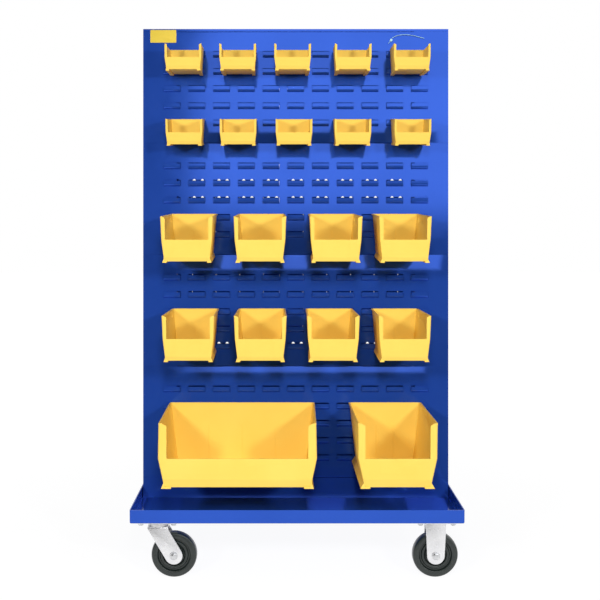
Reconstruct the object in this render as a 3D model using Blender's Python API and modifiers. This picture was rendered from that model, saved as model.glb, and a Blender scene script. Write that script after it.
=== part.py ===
"""A-frame bin cart.

Two louvered faces lean together over a tray on four casters. The front face carries twenty
hopper-front bins, each hooked over a row of louvers by a lip behind its rim.

Metres, +Z up. X runs along the cart, and the front face looks along -Y. The origin lies on the
ground, under the middle of the space that the cart and its bins take up.
"""

import math

import bmesh
import bpy
from mathutils import Matrix, Vector

# General clearances
GAP = 0.0003
CUT_OVERRUN = 0.002
BITE = 0.0008
WELD = 0.00001
FOLD_SHARP_DEG = 50.0
TURNED_SHARP_DEG = 30.0

# Tray
TRAY_LENGTH = 0.920
TRAY_WIDTH = 0.762
TRAY_LIP = 0.038
TRAY_SHEET = 0.0025
TRAY_BEND = 0.0035
BEND_STEPS = 2

# Louvered faces, which fit between the tray's end lips
PANEL_END_CLEARANCE = 0.0015
PANEL_WIDTH = TRAY_LENGTH - 2 * (TRAY_SHEET + PANEL_END_CLEARANCE)
PANEL_SLOPE = 1.4009
PANEL_LEAN_DEG = 3.0
PANEL_FOOT_SPREAD = 0.212
SECTIONS = 4
SEAM = 0.0008
CAP_BAND = 0.0075
BASE_BAND = 0.0606
SECTION_HEIGHT = (PANEL_SLOPE - CAP_BAND - BASE_BAND) / SECTIONS
PANEL_SHEET = 0.0015
SEAM_FLANGE = 0.012
FOOT_FLANGE = 0.028
FLANGE_CLEARANCE = 0.002

# Louvers, lanced and bent out of the sheet: places as shares of the sheet's width and height
LOUVER_COLUMNS = 11
LOUVER_ROWS = 5
PITCH_X_SHARE = 0.08103
PITCH_Z_SHARE = 0.15381
FIRST_ROW_SHARE = 0.20528
WIDTH_SHARE = 0.05482
LOUVER_PITCH_X = PANEL_WIDTH * PITCH_X_SHARE
LOUVER_PITCH_Z = SECTION_HEIGHT * PITCH_Z_SHARE
LOUVER_FIRST_ROW = SECTION_HEIGHT * FIRST_ROW_SHARE
LOUVER_WIDTH = PANEL_WIDTH * WIDTH_SHARE
LOUVER_HEIGHT = 0.020
LOUVER_OPENING = 0.003
LOUVER_TONGUE = LOUVER_HEIGHT - LOUVER_OPENING
LOUVER_REACH = 0.008
LOUVER_DRAFT = 0.001

# Uprights and end braces
UPRIGHT_WEB = 0.100
UPRIGHT_DEPTH = 0.028
UPRIGHT_SHEET = 0.0025
BRACE_HEIGHT = 0.040
BRACE_THICKNESS = 0.003
BRACE_LEVEL_SHARES = (0.24, 0.66)

# Small bare plate and plastic tie on the front face
PLATE_WIDTH = 0.0795
PLATE_HEIGHT = 0.0388
PLATE_THICKNESS = 0.0006
PLATE_FROM_END = 0.0215
PLATE_FROM_TOP = 0.003
TIE_RADIUS = 0.0013
TIE_ROUTE_SHARES = (
    (0.3035, 0.0315), (0.3090, 0.0265), (0.3135, 0.0215), (0.3215, 0.0175), (0.3350, 0.0140),
    (0.3540, 0.0125), (0.3780, 0.0135), (0.4020, 0.0170), (0.4205, 0.0205),
)

# Casters
CASTER_HEIGHT = 0.165
WHEEL_RADIUS = 0.0635
WHEEL_FACETS = 16
TREAD_HALF_WIDTH = 0.011
RIM_HALF_WIDTH = 0.016
RIM_RADIUS = 0.047
WEB_RADIUS = 0.044
WEB_HALF_WIDTH = 0.008
HUB_RADIUS = 0.022
HUB_HALF_WIDTH = 0.0185
BUSH_RADIUS = 0.0085
BUSH_BORE = 0.0060
AXLE_RADIUS = 0.0050
AXLE_HEAD_RADIUS = 0.0085
AXLE_HEAD_HEIGHT = 0.005
AXLE_TAIL = 0.009
AXLE_FACETS = 8
KINGPIN_INSET = 0.073
CASTER_LIP_INSET = 0.063
SWIVEL_TRAIL = 0.044
CASTER_PLATE_LENGTH = 0.115
CASTER_PLATE_WIDTH = 0.100
CASTER_PLATE_THICKNESS = 0.004
CASTER_PLATE_CORNER = 0.010
FORK_SHEET = 0.004
FORK_SIDE_CLEARANCE = 0.0012
FORK_TIP_RADIUS = 0.0245
FORK_CROWN_LENGTH = 0.057
FORK_CROWN_DROP = 0.008
FORK_TIP_STEPS = 5
RACE_HEIGHT = 0.014
RACE_TOP_RADIUS = 0.036
RACE_RADIUS = 0.030
KINGPIN_RADIUS = 0.0070
KINGPIN_HEAD_RADIUS = 0.011
KINGPIN_HEAD_HEIGHT = 0.004
RACE_FACETS = 12

# Bins: width and height at the rim's front corners, and length. The walls draw in from there by
# knee at the lip's edge, base at the floor, and back and back_base at the rear
BIN_WALL = 0.0024
BIN_FOOT = 0.004
BIN_SKIRT_INSET = 0.006
BIN_RAIL_SETBACK = 0.0015
HANGER_REACH = 0.0175
HANGER_SHEET = 0.0020
HANGER_DEPTH = 0.009
HANGER_OFF_SHEET = 0.0004
HANGER_WIDTH_SHARE = 0.80
BIN_SIZES = {
    "small": dict(width=0.105, height=0.076, length=0.137, knee=0.0, base=0.005, back=0.002,
                  back_base=0.0065, lip_share=0.500, column=0.0065, skirt=0.011, rail=0.009,
                  foot=0.010, flare=0.0025, drop=0.0006),
    "medium": dict(width=0.144, height=0.127, length=0.276, knee=0.0025, base=0.010, back=0.0045,
                   back_base=0.0153, lip_share=0.500, column=0.0125, skirt=0.011, rail=0.011,
                   foot=0.012, flare=0.0055, drop=0.0006),
    "large": dict(width=0.211, height=0.175, length=0.375, knee=0.0008, base=0.0185, back=0.0001,
                  back_base=0.0188, lip_share=0.460, column=0.0195, skirt=0.024, rail=0.015,
                  foot=0.026, flare=0.0114, drop=0.0036),
    "wide": dict(width=0.417, height=0.175, length=0.375, knee=-0.0020, base=0.0150, back=-0.0045,
                 back_base=0.0145, lip_share=0.460, column=0.021, skirt=0.024, rail=0.015,
                 foot=0.026, flare=0.0089, drop=0.0036),
}

# Bin rows: section and louver row that the hangers hook on, droop of the row in degrees, and
# each bin's size and place, as a share of the panel's width from its middle
BIN_ROW_SHARES = (
    (0, 0, 0.7, (("small", -0.3554), ("small", -0.1842), ("small", -0.0122),
                 ("small", 0.1774), ("small", 0.3622))),
    (0, 4, 4.5, (("small", -0.3525), ("small", -0.1829), ("small", -0.0077),
                 ("small", 0.1768), ("small", 0.3646))),
    (1, 3, 1.55, (("medium", -0.3315), ("medium", -0.1116), ("medium", 0.1166),
                  ("medium", 0.3239))),
    (2, 2, -0.6, (("medium", -0.3271), ("medium", -0.1107), ("medium", 0.1082),
                  ("medium", 0.3221))),
    (3, 1, -1.1, (("wide", -0.1751), ("large", 0.2900))),
)

# Sizes that follow from those above
LEAN = math.radians(PANEL_LEAN_DEG)
FLOOR_TOP = CASTER_HEIGHT + TRAY_SHEET
HALF_FOOT = PANEL_FOOT_SPREAD / 2
WEB_DEPTH = PANEL_SHEET + GAP
FLANGE_HALF = PANEL_WIDTH / 2 - UPRIGHT_WEB - FLANGE_CLEARANCE

PARTS = "a_frame_bin_cart"
CUTTERS = "a_frame_bin_cart_cutters"


# Scene set-up

def clear_scene():
    """Remove whatever the file holds, so that the script can run again."""
    for obj in list(bpy.data.objects):
        bpy.data.objects.remove(obj)
    for name in (PARTS, CUTTERS):
        old = bpy.data.collections.get(name)
        if old is not None:
            bpy.data.collections.remove(old)
        bpy.context.scene.collection.children.link(bpy.data.collections.new(name))


def paint(name, colour, roughness, metallic):
    """A plain Principled material."""
    material = bpy.data.materials.new(name)
    material.use_nodes = True
    shader = material.node_tree.nodes["Principled BSDF"]
    shader.inputs["Base Color"].default_value = (*colour, 1.0)
    shader.inputs["Roughness"].default_value = roughness
    shader.inputs["Metallic"].default_value = metallic
    material.diffuse_color = (*colour, 1.0)
    return material


FINISHES = {
    "blue": ((0.022, 0.075, 0.42), 0.42, 0.0),
    "yellow": ((0.95, 0.62, 0.05), 0.38, 0.0),
    "plate": ((0.90, 0.70, 0.08), 0.45, 0.0),
    "tie": ((0.45, 0.75, 0.88), 0.40, 0.0),
    "zinc": ((0.80, 0.80, 0.82), 0.28, 1.0),
    "tyre": ((0.045, 0.055, 0.052), 0.60, 0.0),
    "bush": ((0.55, 0.42, 0.20), 0.45, 1.0),
    "bolt": ((0.62, 0.62, 0.64), 0.35, 1.0),
}


def add_part(name, mesh, finish, matrix):
    """Put a mesh in the parts collection, with its own material and its place."""
    obj = bpy.data.objects.new(name, mesh)
    obj.data.materials.clear()
    obj.data.materials.append(paint(name, *FINISHES[finish]))
    bpy.data.collections[PARTS].objects.link(obj)
    obj.matrix_world = matrix
    return obj


def add_cutter(name, mesh, matrix):
    """Put a mesh in the cutters collection, out of the render."""
    obj = bpy.data.objects.new(name, mesh)
    bpy.data.collections[CUTTERS].objects.link(obj)
    obj.matrix_world = matrix
    obj.hide_render = True
    obj.display_type = "WIRE"
    return obj


def to_mesh(name, bm):
    """Turn a bmesh into a mesh, and free it."""
    mesh = bpy.data.meshes.new(name)
    bm.to_mesh(mesh)
    bm.free()
    return mesh


def thicken(obj, thickness):
    """Give an open surface its thickness, behind its face."""
    solidify = obj.modifiers.new("Thickness", "SOLIDIFY")
    solidify.thickness = thickness
    solidify.offset = -1.0
    solidify.use_even_offset = True
    solidify.use_quality_normals = True


def combine(obj, other, operation):
    """Join another object to this one, or cut it away."""
    boolean = obj.modifiers.new(operation.title() + "_" + other.name, "BOOLEAN")
    boolean.operation = operation
    boolean.solver = "EXACT"
    boolean.object = other


def baked(obj):
    """The mesh of an object with its modifiers applied."""
    bpy.context.view_layer.update()
    graph = bpy.context.evaluated_depsgraph_get()
    return bpy.data.meshes.new_from_object(obj.evaluated_get(graph))


# Shapes that several parts share

def box_mesh(name, size, centre=(0.0, 0.0, 0.0), corner=0.0, steps=1):
    """A box, with its upright edges rounded by the corner radius."""
    bm = bmesh.new()
    bmesh.ops.create_cube(bm, size=1.0)
    bmesh.ops.scale(bm, vec=size, verts=bm.verts)
    bmesh.ops.translate(bm, vec=centre, verts=bm.verts)
    if corner > 0.0:
        upright = [e for e in bm.edges
                   if abs(e.verts[0].co.z - e.verts[1].co.z) > size[2] / 2]
        bmesh.ops.bevel(bm, geom=upright, offset=corner, segments=steps,
                        affect="EDGES", profile=0.5)
    return to_mesh(name, bm)


def prism_mesh(name, outline, start, end, axis):
    """A flat outline pushed along one axis, X or Y, from start to end.

    The outline is a list of (y, z) pairs for X, and of (x, z) pairs for Y.
    """
    bm = bmesh.new()
    if axis == "X":
        verts = [bm.verts.new((start, a, b)) for a, b in outline]
        push = Vector((end - start, 0.0, 0.0))
    else:
        verts = [bm.verts.new((a, start, b)) for a, b in outline]
        push = Vector((0.0, end - start, 0.0))
    face = bm.faces.new(verts)
    pushed = bmesh.ops.extrude_face_region(bm, geom=[face])
    moved = [item for item in pushed["geom"] if isinstance(item, bmesh.types.BMVert)]
    bmesh.ops.translate(bm, vec=push, verts=moved)
    bmesh.ops.recalc_face_normals(bm, faces=bm.faces)
    return to_mesh(name, bm)


def turned_mesh(name, profile, facets):
    """A closed profile of (radius, height) pairs turned about Z by a Screw modifier.

    The profile runs down its outer side and up its inner side. Profiles whose ends lie on the
    axis stay open there.
    """
    bm = bmesh.new()
    verts = [bm.verts.new((radius, 0.0, height)) for radius, height in profile]
    for first, second in zip(verts, verts[1:]):
        bm.edges.new((first, second))
    if profile[0][0] > 0.0:
        bm.edges.new((verts[-1], verts[0]))
    turner = bpy.data.objects.new(name, to_mesh(name, bm))
    bpy.data.collections[CUTTERS].objects.link(turner)
    screw = turner.modifiers.new("Turn", "SCREW")
    screw.axis = "Z"
    screw.angle = math.tau
    screw.steps = facets
    screw.render_steps = facets
    screw.use_merge_vertices = True
    screw.merge_threshold = WELD
    mesh = baked(turner)
    bpy.data.objects.remove(turner)
    bm = bmesh.new()
    bm.from_mesh(mesh)
    bmesh.ops.recalc_face_normals(bm, faces=bm.faces)
    bm.to_mesh(mesh)
    bm.free()
    return mesh


def smooth(obj, angle_deg):
    """Round pieces shade smooth, with sharp edges past the angle."""
    obj.data.shade_smooth()
    obj.data.set_sharp_from_angle(angle=math.radians(angle_deg))


# Places on the cart

def hook_row_height(section, row):
    """Height up the slope of a louver row's free edge."""
    section_top = PANEL_SLOPE - CAP_BAND - section * SECTION_HEIGHT
    middle = section_top - LOUVER_FIRST_ROW - row * LOUVER_PITCH_Z
    return middle + LOUVER_HEIGHT / 2 - LOUVER_OPENING


def bin_seat(size, section, row, droop_deg):
    """Depth, height and tilt of a bin against the face that it hangs on.

    The tilt is the bin's, from the slope of the face. The hanger's lower rear edge stays just
    off the sheet, and the underside of the hanger rests on the inner corner of the louver's
    edge, which is square to the louver and so stands a little above its outer corner.
    """
    tilt = LEAN + math.radians(droop_deg)
    bend = math.atan(LOUVER_REACH / LOUVER_TONGUE)
    corner_out = LOUVER_REACH - PANEL_SHEET * math.cos(bend)
    corner_up = PANEL_SHEET * math.sin(bend)
    underside = -size["drop"] - HANGER_SHEET
    lip_end = underside - HANGER_DEPTH
    depth = -HANGER_OFF_SHEET - (HANGER_REACH * math.cos(tilt) - lip_end * math.sin(tilt))
    over_edge = (-corner_out - depth + underside * math.sin(tilt)) / math.cos(tilt)
    rise = over_edge * math.sin(tilt) + underside * math.cos(tilt)
    height = hook_row_height(section, row) + corner_up + GAP - rise
    return depth, height, tilt


def cart_middle():
    """How far the tray's middle lies behind the origin.

    The longest bins reach past the front lip, and the origin lies under the middle of it all.
    """
    front = 0.0
    for section, row, droop_deg, places in BIN_ROW_SHARES:
        for size_name, _share in places:
            size = BIN_SIZES[size_name]
            depth, height, tilt = bin_seat(size, section, row, droop_deg)
            droop = tilt - LEAN
            rim_y = -HALF_FOOT + height * math.sin(LEAN) + depth * math.cos(LEAN)
            for local_z in (0.0, size["skirt"] - size["height"]):
                reach = rim_y - size["length"] * math.cos(droop) - local_z * math.sin(droop)
                front = min(front, reach)
    return (-TRAY_WIDTH / 2 - front) / 2


CART_Y = cart_middle()


def face_matrix(side):
    """The frame of a face: X along it, Z up its slope, -Y out of it, at its foot."""
    turn = Matrix.Rotation(0.0 if side == "front" else math.pi, 4, "Z")
    spread = Matrix.Translation((0.0, -HALF_FOOT, 0.0))
    lean = Matrix.Rotation(-LEAN, 4, "X")
    return Matrix.Translation((0.0, CART_Y, FLOOR_TOP)) @ turn @ spread @ lean


def face_point(up, depth):
    """The (y, z) of a point of the front face, from the cart's middle plane and the floor."""
    y = -HALF_FOOT + up * math.sin(LEAN) + depth * math.cos(LEAN)
    z = up * math.cos(LEAN) - depth * math.sin(LEAN)
    return y, z


# Tray

def make_tray():
    """One folded sheet: a floor with upturned lips, welded at the corners."""
    bm = bmesh.new()
    bmesh.ops.create_cube(bm, size=1.0)
    bmesh.ops.scale(bm, vec=(TRAY_LENGTH, TRAY_WIDTH, TRAY_LIP), verts=bm.verts)
    top = [f for f in bm.faces if f.normal.z > 0.5]
    bmesh.ops.delete(bm, geom=top, context="FACES_ONLY")
    rim = {e for e in bm.edges if e.is_boundary}
    bends = [e for e in bm.edges if e not in rim]
    bmesh.ops.bevel(bm, geom=bends, offset=TRAY_BEND, segments=BEND_STEPS,
                    affect="EDGES", profile=0.5)
    middle = CASTER_HEIGHT + TRAY_LIP / 2
    tray = add_part("tray", to_mesh("tray", bm), "blue",
                    Matrix.Translation((0.0, CART_Y, middle)))
    thicken(tray, TRAY_SHEET)
    smooth(tray, FOLD_SHARP_DEG)


# Louvered faces

def louver_edges():
    """Left and right edges of the louver columns, from the middle of the face."""
    first = -(LOUVER_COLUMNS - 1) / 2
    edges = []
    for column in range(LOUVER_COLUMNS):
        middle = (first + column) * LOUVER_PITCH_X
        edges.append((middle - LOUVER_WIDTH / 2, middle + LOUVER_WIDTH / 2))
    return edges


def louver_levels(height):
    """Lower and upper edges of the louver rows in a sheet of this height, from its foot."""
    levels = []
    for row in range(LOUVER_ROWS):
        middle = height - LOUVER_FIRST_ROW - row * LOUVER_PITCH_Z
        levels.append((middle - LOUVER_HEIGHT / 2, middle + LOUVER_HEIGHT / 2))
    return levels


def add_face(bm, corners):
    """One face with corners of its own, which are welded to its neighbours' later."""
    bm.faces.new([bm.verts.new(corner) for corner in corners])


def add_flange(bm, level, depth, upper, rise):
    """Fold the sheet's upper or lower edge inwards between the uprights."""
    corners = [(-FLANGE_HALF, 0.0, level), (FLANGE_HALF, 0.0, level),
               (FLANGE_HALF, depth, level + rise), (-FLANGE_HALF, depth, level + rise)]
    add_face(bm, corners if upper else list(reversed(corners)))


def sheet_surface(height, columns, rows, foot_rise):
    """The outer surface of one face sheet, with its lanced louvers and folded flanges.

    Each louver is a tongue of the sheet, cut free on three sides and bent out from its lower
    edge. Its draft keeps its sides clear of the window that it leaves, and it ends a little
    below the window's upper edge.
    """
    bm = bmesh.new()
    half = PANEL_WIDTH / 2
    fold = [-half, -FLANGE_HALF, FLANGE_HALF, half]
    cuts = [-half] + [x for pair in columns for x in pair] + [half]
    levels = [0.0] + sorted(z for pair in rows for z in pair) + [height]
    for low, high in zip(levels[::2], levels[1::2]):
        lower = fold if low == levels[0] else cuts
        upper = fold if high == levels[-1] else cuts
        add_face(bm, [(x, 0.0, low) for x in lower] + [(x, 0.0, high) for x in reversed(upper)])
    for low, high in rows:
        for left, right in zip(cuts[::2], cuts[1::2]):
            add_face(bm, [(left, 0.0, low), (right, 0.0, low),
                          (right, 0.0, high), (left, 0.0, high)])
        for left, right in columns:
            add_face(bm, [(left, 0.0, low), (right, 0.0, low),
                          (right - LOUVER_DRAFT, -LOUVER_REACH, low + LOUVER_TONGUE),
                          (left + LOUVER_DRAFT, -LOUVER_REACH, low + LOUVER_TONGUE)])
    add_flange(bm, height, SEAM_FLANGE, True, 0.0)
    foot_depth = FOOT_FLANGE if foot_rise > 0.0 else SEAM_FLANGE
    add_flange(bm, 0.0, foot_depth, False, foot_depth * foot_rise)
    bmesh.ops.remove_doubles(bm, verts=bm.verts, dist=WELD)
    return bm


def make_face(side):
    """The four sheets and the base rail of one face, with the same lanced louvers all over."""
    frame = face_matrix(side)
    sheet_height = SECTION_HEIGHT - SEAM
    rows = louver_levels(sheet_height + SEAM / 2)
    lanced = to_mesh("lanced_sheet", sheet_surface(sheet_height, louver_edges(), rows, 0.0))
    for number in range(SECTIONS):
        foot = BASE_BAND + (SECTIONS - 1 - number) * SECTION_HEIGHT + SEAM / 2
        place = frame @ Matrix.Translation((0.0, 0.0, foot))
        sheet = add_part("louver_panel_" + side + "_" + str(number + 1), lanced.copy(), "blue", place)
        thicken(sheet, PANEL_SHEET)
    base = to_mesh("base_rail", sheet_surface(BASE_BAND - SEAM / 2 - GAP, [], [], math.tan(LEAN)))
    place = frame @ Matrix.Translation((0.0, 0.0, GAP))
    rail = add_part("base_rail_" + side, base, "blue", place)
    thicken(rail, PANEL_SHEET)


def make_uprights(side):
    """Two channels behind the side margins of a face, cut level at the floor and the cap."""
    reach = WEB_DEPTH + UPRIGHT_DEPTH
    inner_x = PANEL_WIDTH / 2 - UPRIGHT_WEB
    for end, sign in (("left", -1), ("right", 1)):
        bm = bmesh.new()
        profile = [(sign * PANEL_WIDTH / 2, reach), (sign * PANEL_WIDTH / 2, WEB_DEPTH),
                   (sign * inner_x, WEB_DEPTH), (sign * inner_x, reach)]
        if sign > 0:
            profile.reverse()
        verts = [bm.verts.new((x, y, GAP + y * math.tan(LEAN))) for x, y in profile]
        edges = [bm.edges.new(pair) for pair in zip(verts, verts[1:])]
        top = PANEL_SLOPE - (PANEL_SHEET + GAP) / math.cos(LEAN)
        pushed = bmesh.ops.extrude_edge_only(bm, edges=edges)
        moved = [item for item in pushed["geom"] if isinstance(item, bmesh.types.BMVert)]
        bmesh.ops.translate(bm, vec=(0.0, 0.0, top - GAP), verts=moved)
        outward = Vector((0.0, -1.0, 0.0))
        web = max(bm.faces, key=lambda f: f.calc_area())
        web.normal_update()
        bmesh.ops.recalc_face_normals(bm, faces=bm.faces)
        web.normal_update()
        if web.normal.dot(outward) < 0.0:
            bmesh.ops.reverse_faces(bm, faces=bm.faces)
        where = end if side == "front" else ("right" if end == "left" else "left")
        upright = add_part("upright_" + side + "_" + where, to_mesh("upright", bm), "blue",
                           face_matrix(side))
        thicken(upright, UPRIGHT_SHEET)


def make_top_cap():
    """The folded strip along the ridge, over the upper edges of both faces."""
    low = face_point(PANEL_SLOPE - CAP_BAND, 0.0)
    high = face_point(PANEL_SLOPE, 0.0)
    profile = [low, high, (-high[0], high[1]), (-low[0], low[1])]
    bm = bmesh.new()
    verts = [bm.verts.new((-PANEL_WIDTH / 2, y, z)) for y, z in profile]
    edges = [bm.edges.new(pair) for pair in zip(verts, verts[1:])]
    pushed = bmesh.ops.extrude_edge_only(bm, edges=edges)
    moved = [item for item in pushed["geom"] if isinstance(item, bmesh.types.BMVert)]
    bmesh.ops.translate(bm, vec=(PANEL_WIDTH, 0.0, 0.0), verts=moved)
    bmesh.ops.recalc_face_normals(bm, faces=bm.faces)
    roof = max(bm.faces, key=lambda f: f.calc_area())
    roof.normal_update()
    if roof.normal.z < 0.0:
        bmesh.ops.reverse_faces(bm, faces=bm.faces)
    cap = add_part("top_cap", to_mesh("top_cap", bm), "blue",
                   Matrix.Translation((0.0, CART_Y, FLOOR_TOP)))
    thicken(cap, PANEL_SHEET)


def make_end_braces():
    """Flat bars that tie the front and rear uprights together inside their end flanges."""
    depth = WEB_DEPTH + UPRIGHT_SHEET + GAP
    outer = PANEL_WIDTH / 2 - UPRIGHT_SHEET - GAP
    for level_name, share in zip(("lower", "upper"), BRACE_LEVEL_SHARES):
        up = PANEL_SLOPE * share
        low = face_point(up, depth)
        high = face_point(up + BRACE_HEIGHT, depth)
        outline = [low, (-low[0], low[1]), (-high[0], high[1]), high]
        for end, sign in (("left", -1), ("right", 1)):
            mesh = prism_mesh("end_brace", outline, sign * (outer - BRACE_THICKNESS),
                              sign * outer, "X")
            add_part("end_brace_" + end + "_" + level_name, mesh, "blue",
                     Matrix.Translation((0.0, CART_Y, FLOOR_TOP)))


def make_face_trim():
    """The bare plate at the upper left of the front face and the plastic tie at the right."""
    frame = face_matrix("front")
    centre = (-PANEL_WIDTH / 2 + PLATE_FROM_END + PLATE_WIDTH / 2,
              -GAP - PLATE_THICKNESS / 2,
              PANEL_SLOPE - PLATE_FROM_TOP - PLATE_HEIGHT / 2)
    plate = box_mesh("label_plate", (PLATE_WIDTH, PLATE_THICKNESS, PLATE_HEIGHT))
    add_part("label_plate", plate, "plate", frame @ Matrix.Translation(centre))

    curve = bpy.data.curves.new("plastic_tie", "CURVE")
    curve.dimensions = "3D"
    curve.bevel_depth = TIE_RADIUS
    curve.bevel_resolution = 1
    curve.use_fill_caps = True
    spline = curve.splines.new("POLY")
    spline.points.add(len(TIE_ROUTE_SHARES) - 1)
    for point, (across, down) in zip(spline.points, TIE_ROUTE_SHARES):
        point.co = (PANEL_WIDTH * across, -TIE_RADIUS - GAP, PANEL_SLOPE * (1.0 - down), 1.0)
    add_part("plastic_tie", curve, "tie", frame)


# Casters

def fork_outline(axle_x, crown_top):
    """Side view of a fork: a crown above, drawn in to a round tip about the axle."""
    half = FORK_CROWN_LENGTH / 2
    crown_low = crown_top - FORK_CROWN_DROP
    axle = Vector((axle_x, WHEEL_RADIUS))
    points = [(half, crown_top), (-half, crown_top), (-half, crown_low)]
    left_angle = tangent_angle(Vector((-half, crown_low)), axle, 1.0)
    right_angle = tangent_angle(Vector((half, crown_low)), axle, -1.0)
    if right_angle < left_angle:
        right_angle += math.tau
    for step in range(FORK_TIP_STEPS + 1):
        angle = left_angle + (right_angle - left_angle) * step / FORK_TIP_STEPS
        points.append((axle.x + FORK_TIP_RADIUS * math.cos(angle),
                       axle.y + FORK_TIP_RADIUS * math.sin(angle)))
    points.append((half, crown_low))
    return points


def tangent_angle(corner, centre, side):
    """Angle on the tip circle where a line from a corner touches it."""
    away = corner - centre
    spread = math.acos(FORK_TIP_RADIUS / away.length)
    return math.atan2(away.y, away.x) + side * spread


def caster_places():
    """Name, end, kingpin X and wheel Y of the four casters."""
    kingpin = TRAY_LENGTH / 2 - KINGPIN_INSET
    wheel = TRAY_WIDTH / 2 - CASTER_LIP_INSET
    places = []
    for end, sign in (("left", -1), ("right", 1)):
        for row, depth in (("front", -wheel), ("rear", wheel)):
            places.append((end + "_" + row, end, sign * kingpin, CART_Y + depth))
    return places


def make_wheel(name, place):
    """A moulded wheel with a raised rim, a dished web and a hub, its bush and its axle bolt."""
    flat_radius = WHEEL_RADIUS / math.cos(math.pi / WHEEL_FACETS)
    outer_side = [(flat_radius, TREAD_HALF_WIDTH), (flat_radius, -TREAD_HALF_WIDTH),
                  (RIM_RADIUS, -RIM_HALF_WIDTH), (WEB_RADIUS, -WEB_HALF_WIDTH),
                  (HUB_RADIUS, -WEB_HALF_WIDTH), (HUB_RADIUS, -HUB_HALF_WIDTH),
                  (BUSH_RADIUS + GAP, -HUB_HALF_WIDTH)]
    upper_side = [(radius, -height) for radius, height in reversed(outer_side[2:])]
    wheel = add_part("wheel_" + name,
                     turned_mesh("wheel", outer_side + upper_side, WHEEL_FACETS), "tyre",
                     place @ Matrix.Rotation(math.pi / WHEEL_FACETS, 4, "Y")
                     @ Matrix.Rotation(math.pi / 2, 4, "X"))
    smooth(wheel, TURNED_SHARP_DEG)
    bush_profile = [(BUSH_RADIUS, HUB_HALF_WIDTH), (BUSH_RADIUS, -HUB_HALF_WIDTH),
                    (BUSH_BORE, -HUB_HALF_WIDTH), (BUSH_BORE, HUB_HALF_WIDTH)]
    bush = add_part("bush_" + name, turned_mesh("bush", bush_profile, AXLE_FACETS), "bush",
                    place @ Matrix.Rotation(math.pi / 2, 4, "X"))
    smooth(bush, TURNED_SHARP_DEG)
    seat = HUB_HALF_WIDTH + FORK_SIDE_CLEARANCE + FORK_SHEET + GAP
    bolt_profile = [(0.0, seat + AXLE_HEAD_HEIGHT), (AXLE_HEAD_RADIUS, seat + AXLE_HEAD_HEIGHT),
                    (AXLE_HEAD_RADIUS, seat), (AXLE_RADIUS, seat),
                    (AXLE_RADIUS, -seat - AXLE_TAIL), (0.0, -seat - AXLE_TAIL)]
    bolt = add_part("axle_bolt_" + name, turned_mesh("axle_bolt", bolt_profile, AXLE_FACETS),
                    "bolt", place @ Matrix.Rotation(math.pi / 2, 4, "X"))
    smooth(bolt, TURNED_SHARP_DEG)


def fork_half_width():
    """Half of a fork's width over its legs."""
    return HUB_HALF_WIDTH + FORK_SIDE_CLEARANCE + FORK_SHEET


def cut_fork(fork, name, origin, axle_x, crown_top):
    """Open a fork block between its legs, and drill it for the axle bolt."""
    inside = fork_half_width() - FORK_SHEET
    ceiling = crown_top - FORK_SHEET
    floor = WHEEL_RADIUS - FORK_TIP_RADIUS - CUT_OVERRUN
    reach = (FORK_CROWN_LENGTH + SWIVEL_TRAIL + FORK_TIP_RADIUS) * 2
    slot = box_mesh(name + "_slot", (reach, inside * 2, ceiling - floor),
                    (0.0, 0.0, (ceiling + floor) / 2))
    combine(fork, add_cutter(name + "_slot", slot, origin), "DIFFERENCE")
    half = fork_half_width() + CUT_OVERRUN
    drill = turned_mesh(name + "_drill", [(0.0, half), (AXLE_RADIUS + GAP, half),
                                          (AXLE_RADIUS + GAP, -half), (0.0, -half)], AXLE_FACETS)
    axle = origin @ Matrix.Translation((axle_x, 0.0, WHEEL_RADIUS))
    combine(fork, add_cutter(name + "_drill", drill, axle @ Matrix.Rotation(math.pi / 2, 4, "X")),
            "DIFFERENCE")


def make_swivel_caster(name, x, y):
    """A swivel caster: its plate with the race and kingpin, its fork, wheel and axle."""
    plate_top = CASTER_HEIGHT - GAP
    plate_low = plate_top - CASTER_PLATE_THICKNESS
    race_low = plate_low - RACE_HEIGHT
    origin = Matrix.Translation((x, y, 0.0))
    crown_top = race_low - GAP

    plate = add_part("swivel_plate_" + name,
                     box_mesh("swivel_plate", (CASTER_PLATE_LENGTH, CASTER_PLATE_WIDTH,
                                               CASTER_PLATE_THICKNESS),
                              (0.0, 0.0, -CASTER_PLATE_THICKNESS / 2), CASTER_PLATE_CORNER),
                     "zinc", origin @ Matrix.Translation((0.0, 0.0, plate_top)))
    head_top = crown_top - FORK_SHEET - GAP
    race = [(0.0, plate_low + BITE), (RACE_TOP_RADIUS, plate_low + BITE),
            (RACE_TOP_RADIUS, plate_low - RACE_HEIGHT / 2), (RACE_RADIUS, race_low),
            (KINGPIN_RADIUS, race_low), (KINGPIN_RADIUS, head_top),
            (KINGPIN_HEAD_RADIUS, head_top), (KINGPIN_HEAD_RADIUS, head_top - KINGPIN_HEAD_HEIGHT),
            (0.0, head_top - KINGPIN_HEAD_HEIGHT)]
    combine(plate, add_cutter("race_" + name, turned_mesh("race", race, RACE_FACETS), origin),
            "UNION")

    half = fork_half_width()
    outline = fork_outline(SWIVEL_TRAIL, crown_top)
    fork = add_part("swivel_fork_" + name, prism_mesh("swivel_fork", outline, -half, half, "Y"),
                    "zinc", origin)
    cut_fork(fork, "fork_" + name, origin, SWIVEL_TRAIL, crown_top)
    bore = [(0.0, crown_top + CUT_OVERRUN), (KINGPIN_RADIUS + GAP, crown_top + CUT_OVERRUN),
            (KINGPIN_RADIUS + GAP, crown_top - FORK_SHEET - CUT_OVERRUN),
            (0.0, crown_top - FORK_SHEET - CUT_OVERRUN)]
    combine(fork, add_cutter("kingpin_bore_" + name,
                             turned_mesh("kingpin_bore", bore, RACE_FACETS), origin),
            "DIFFERENCE")
    make_wheel(name, origin @ Matrix.Translation((SWIVEL_TRAIL, 0.0, WHEEL_RADIUS)))


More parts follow.
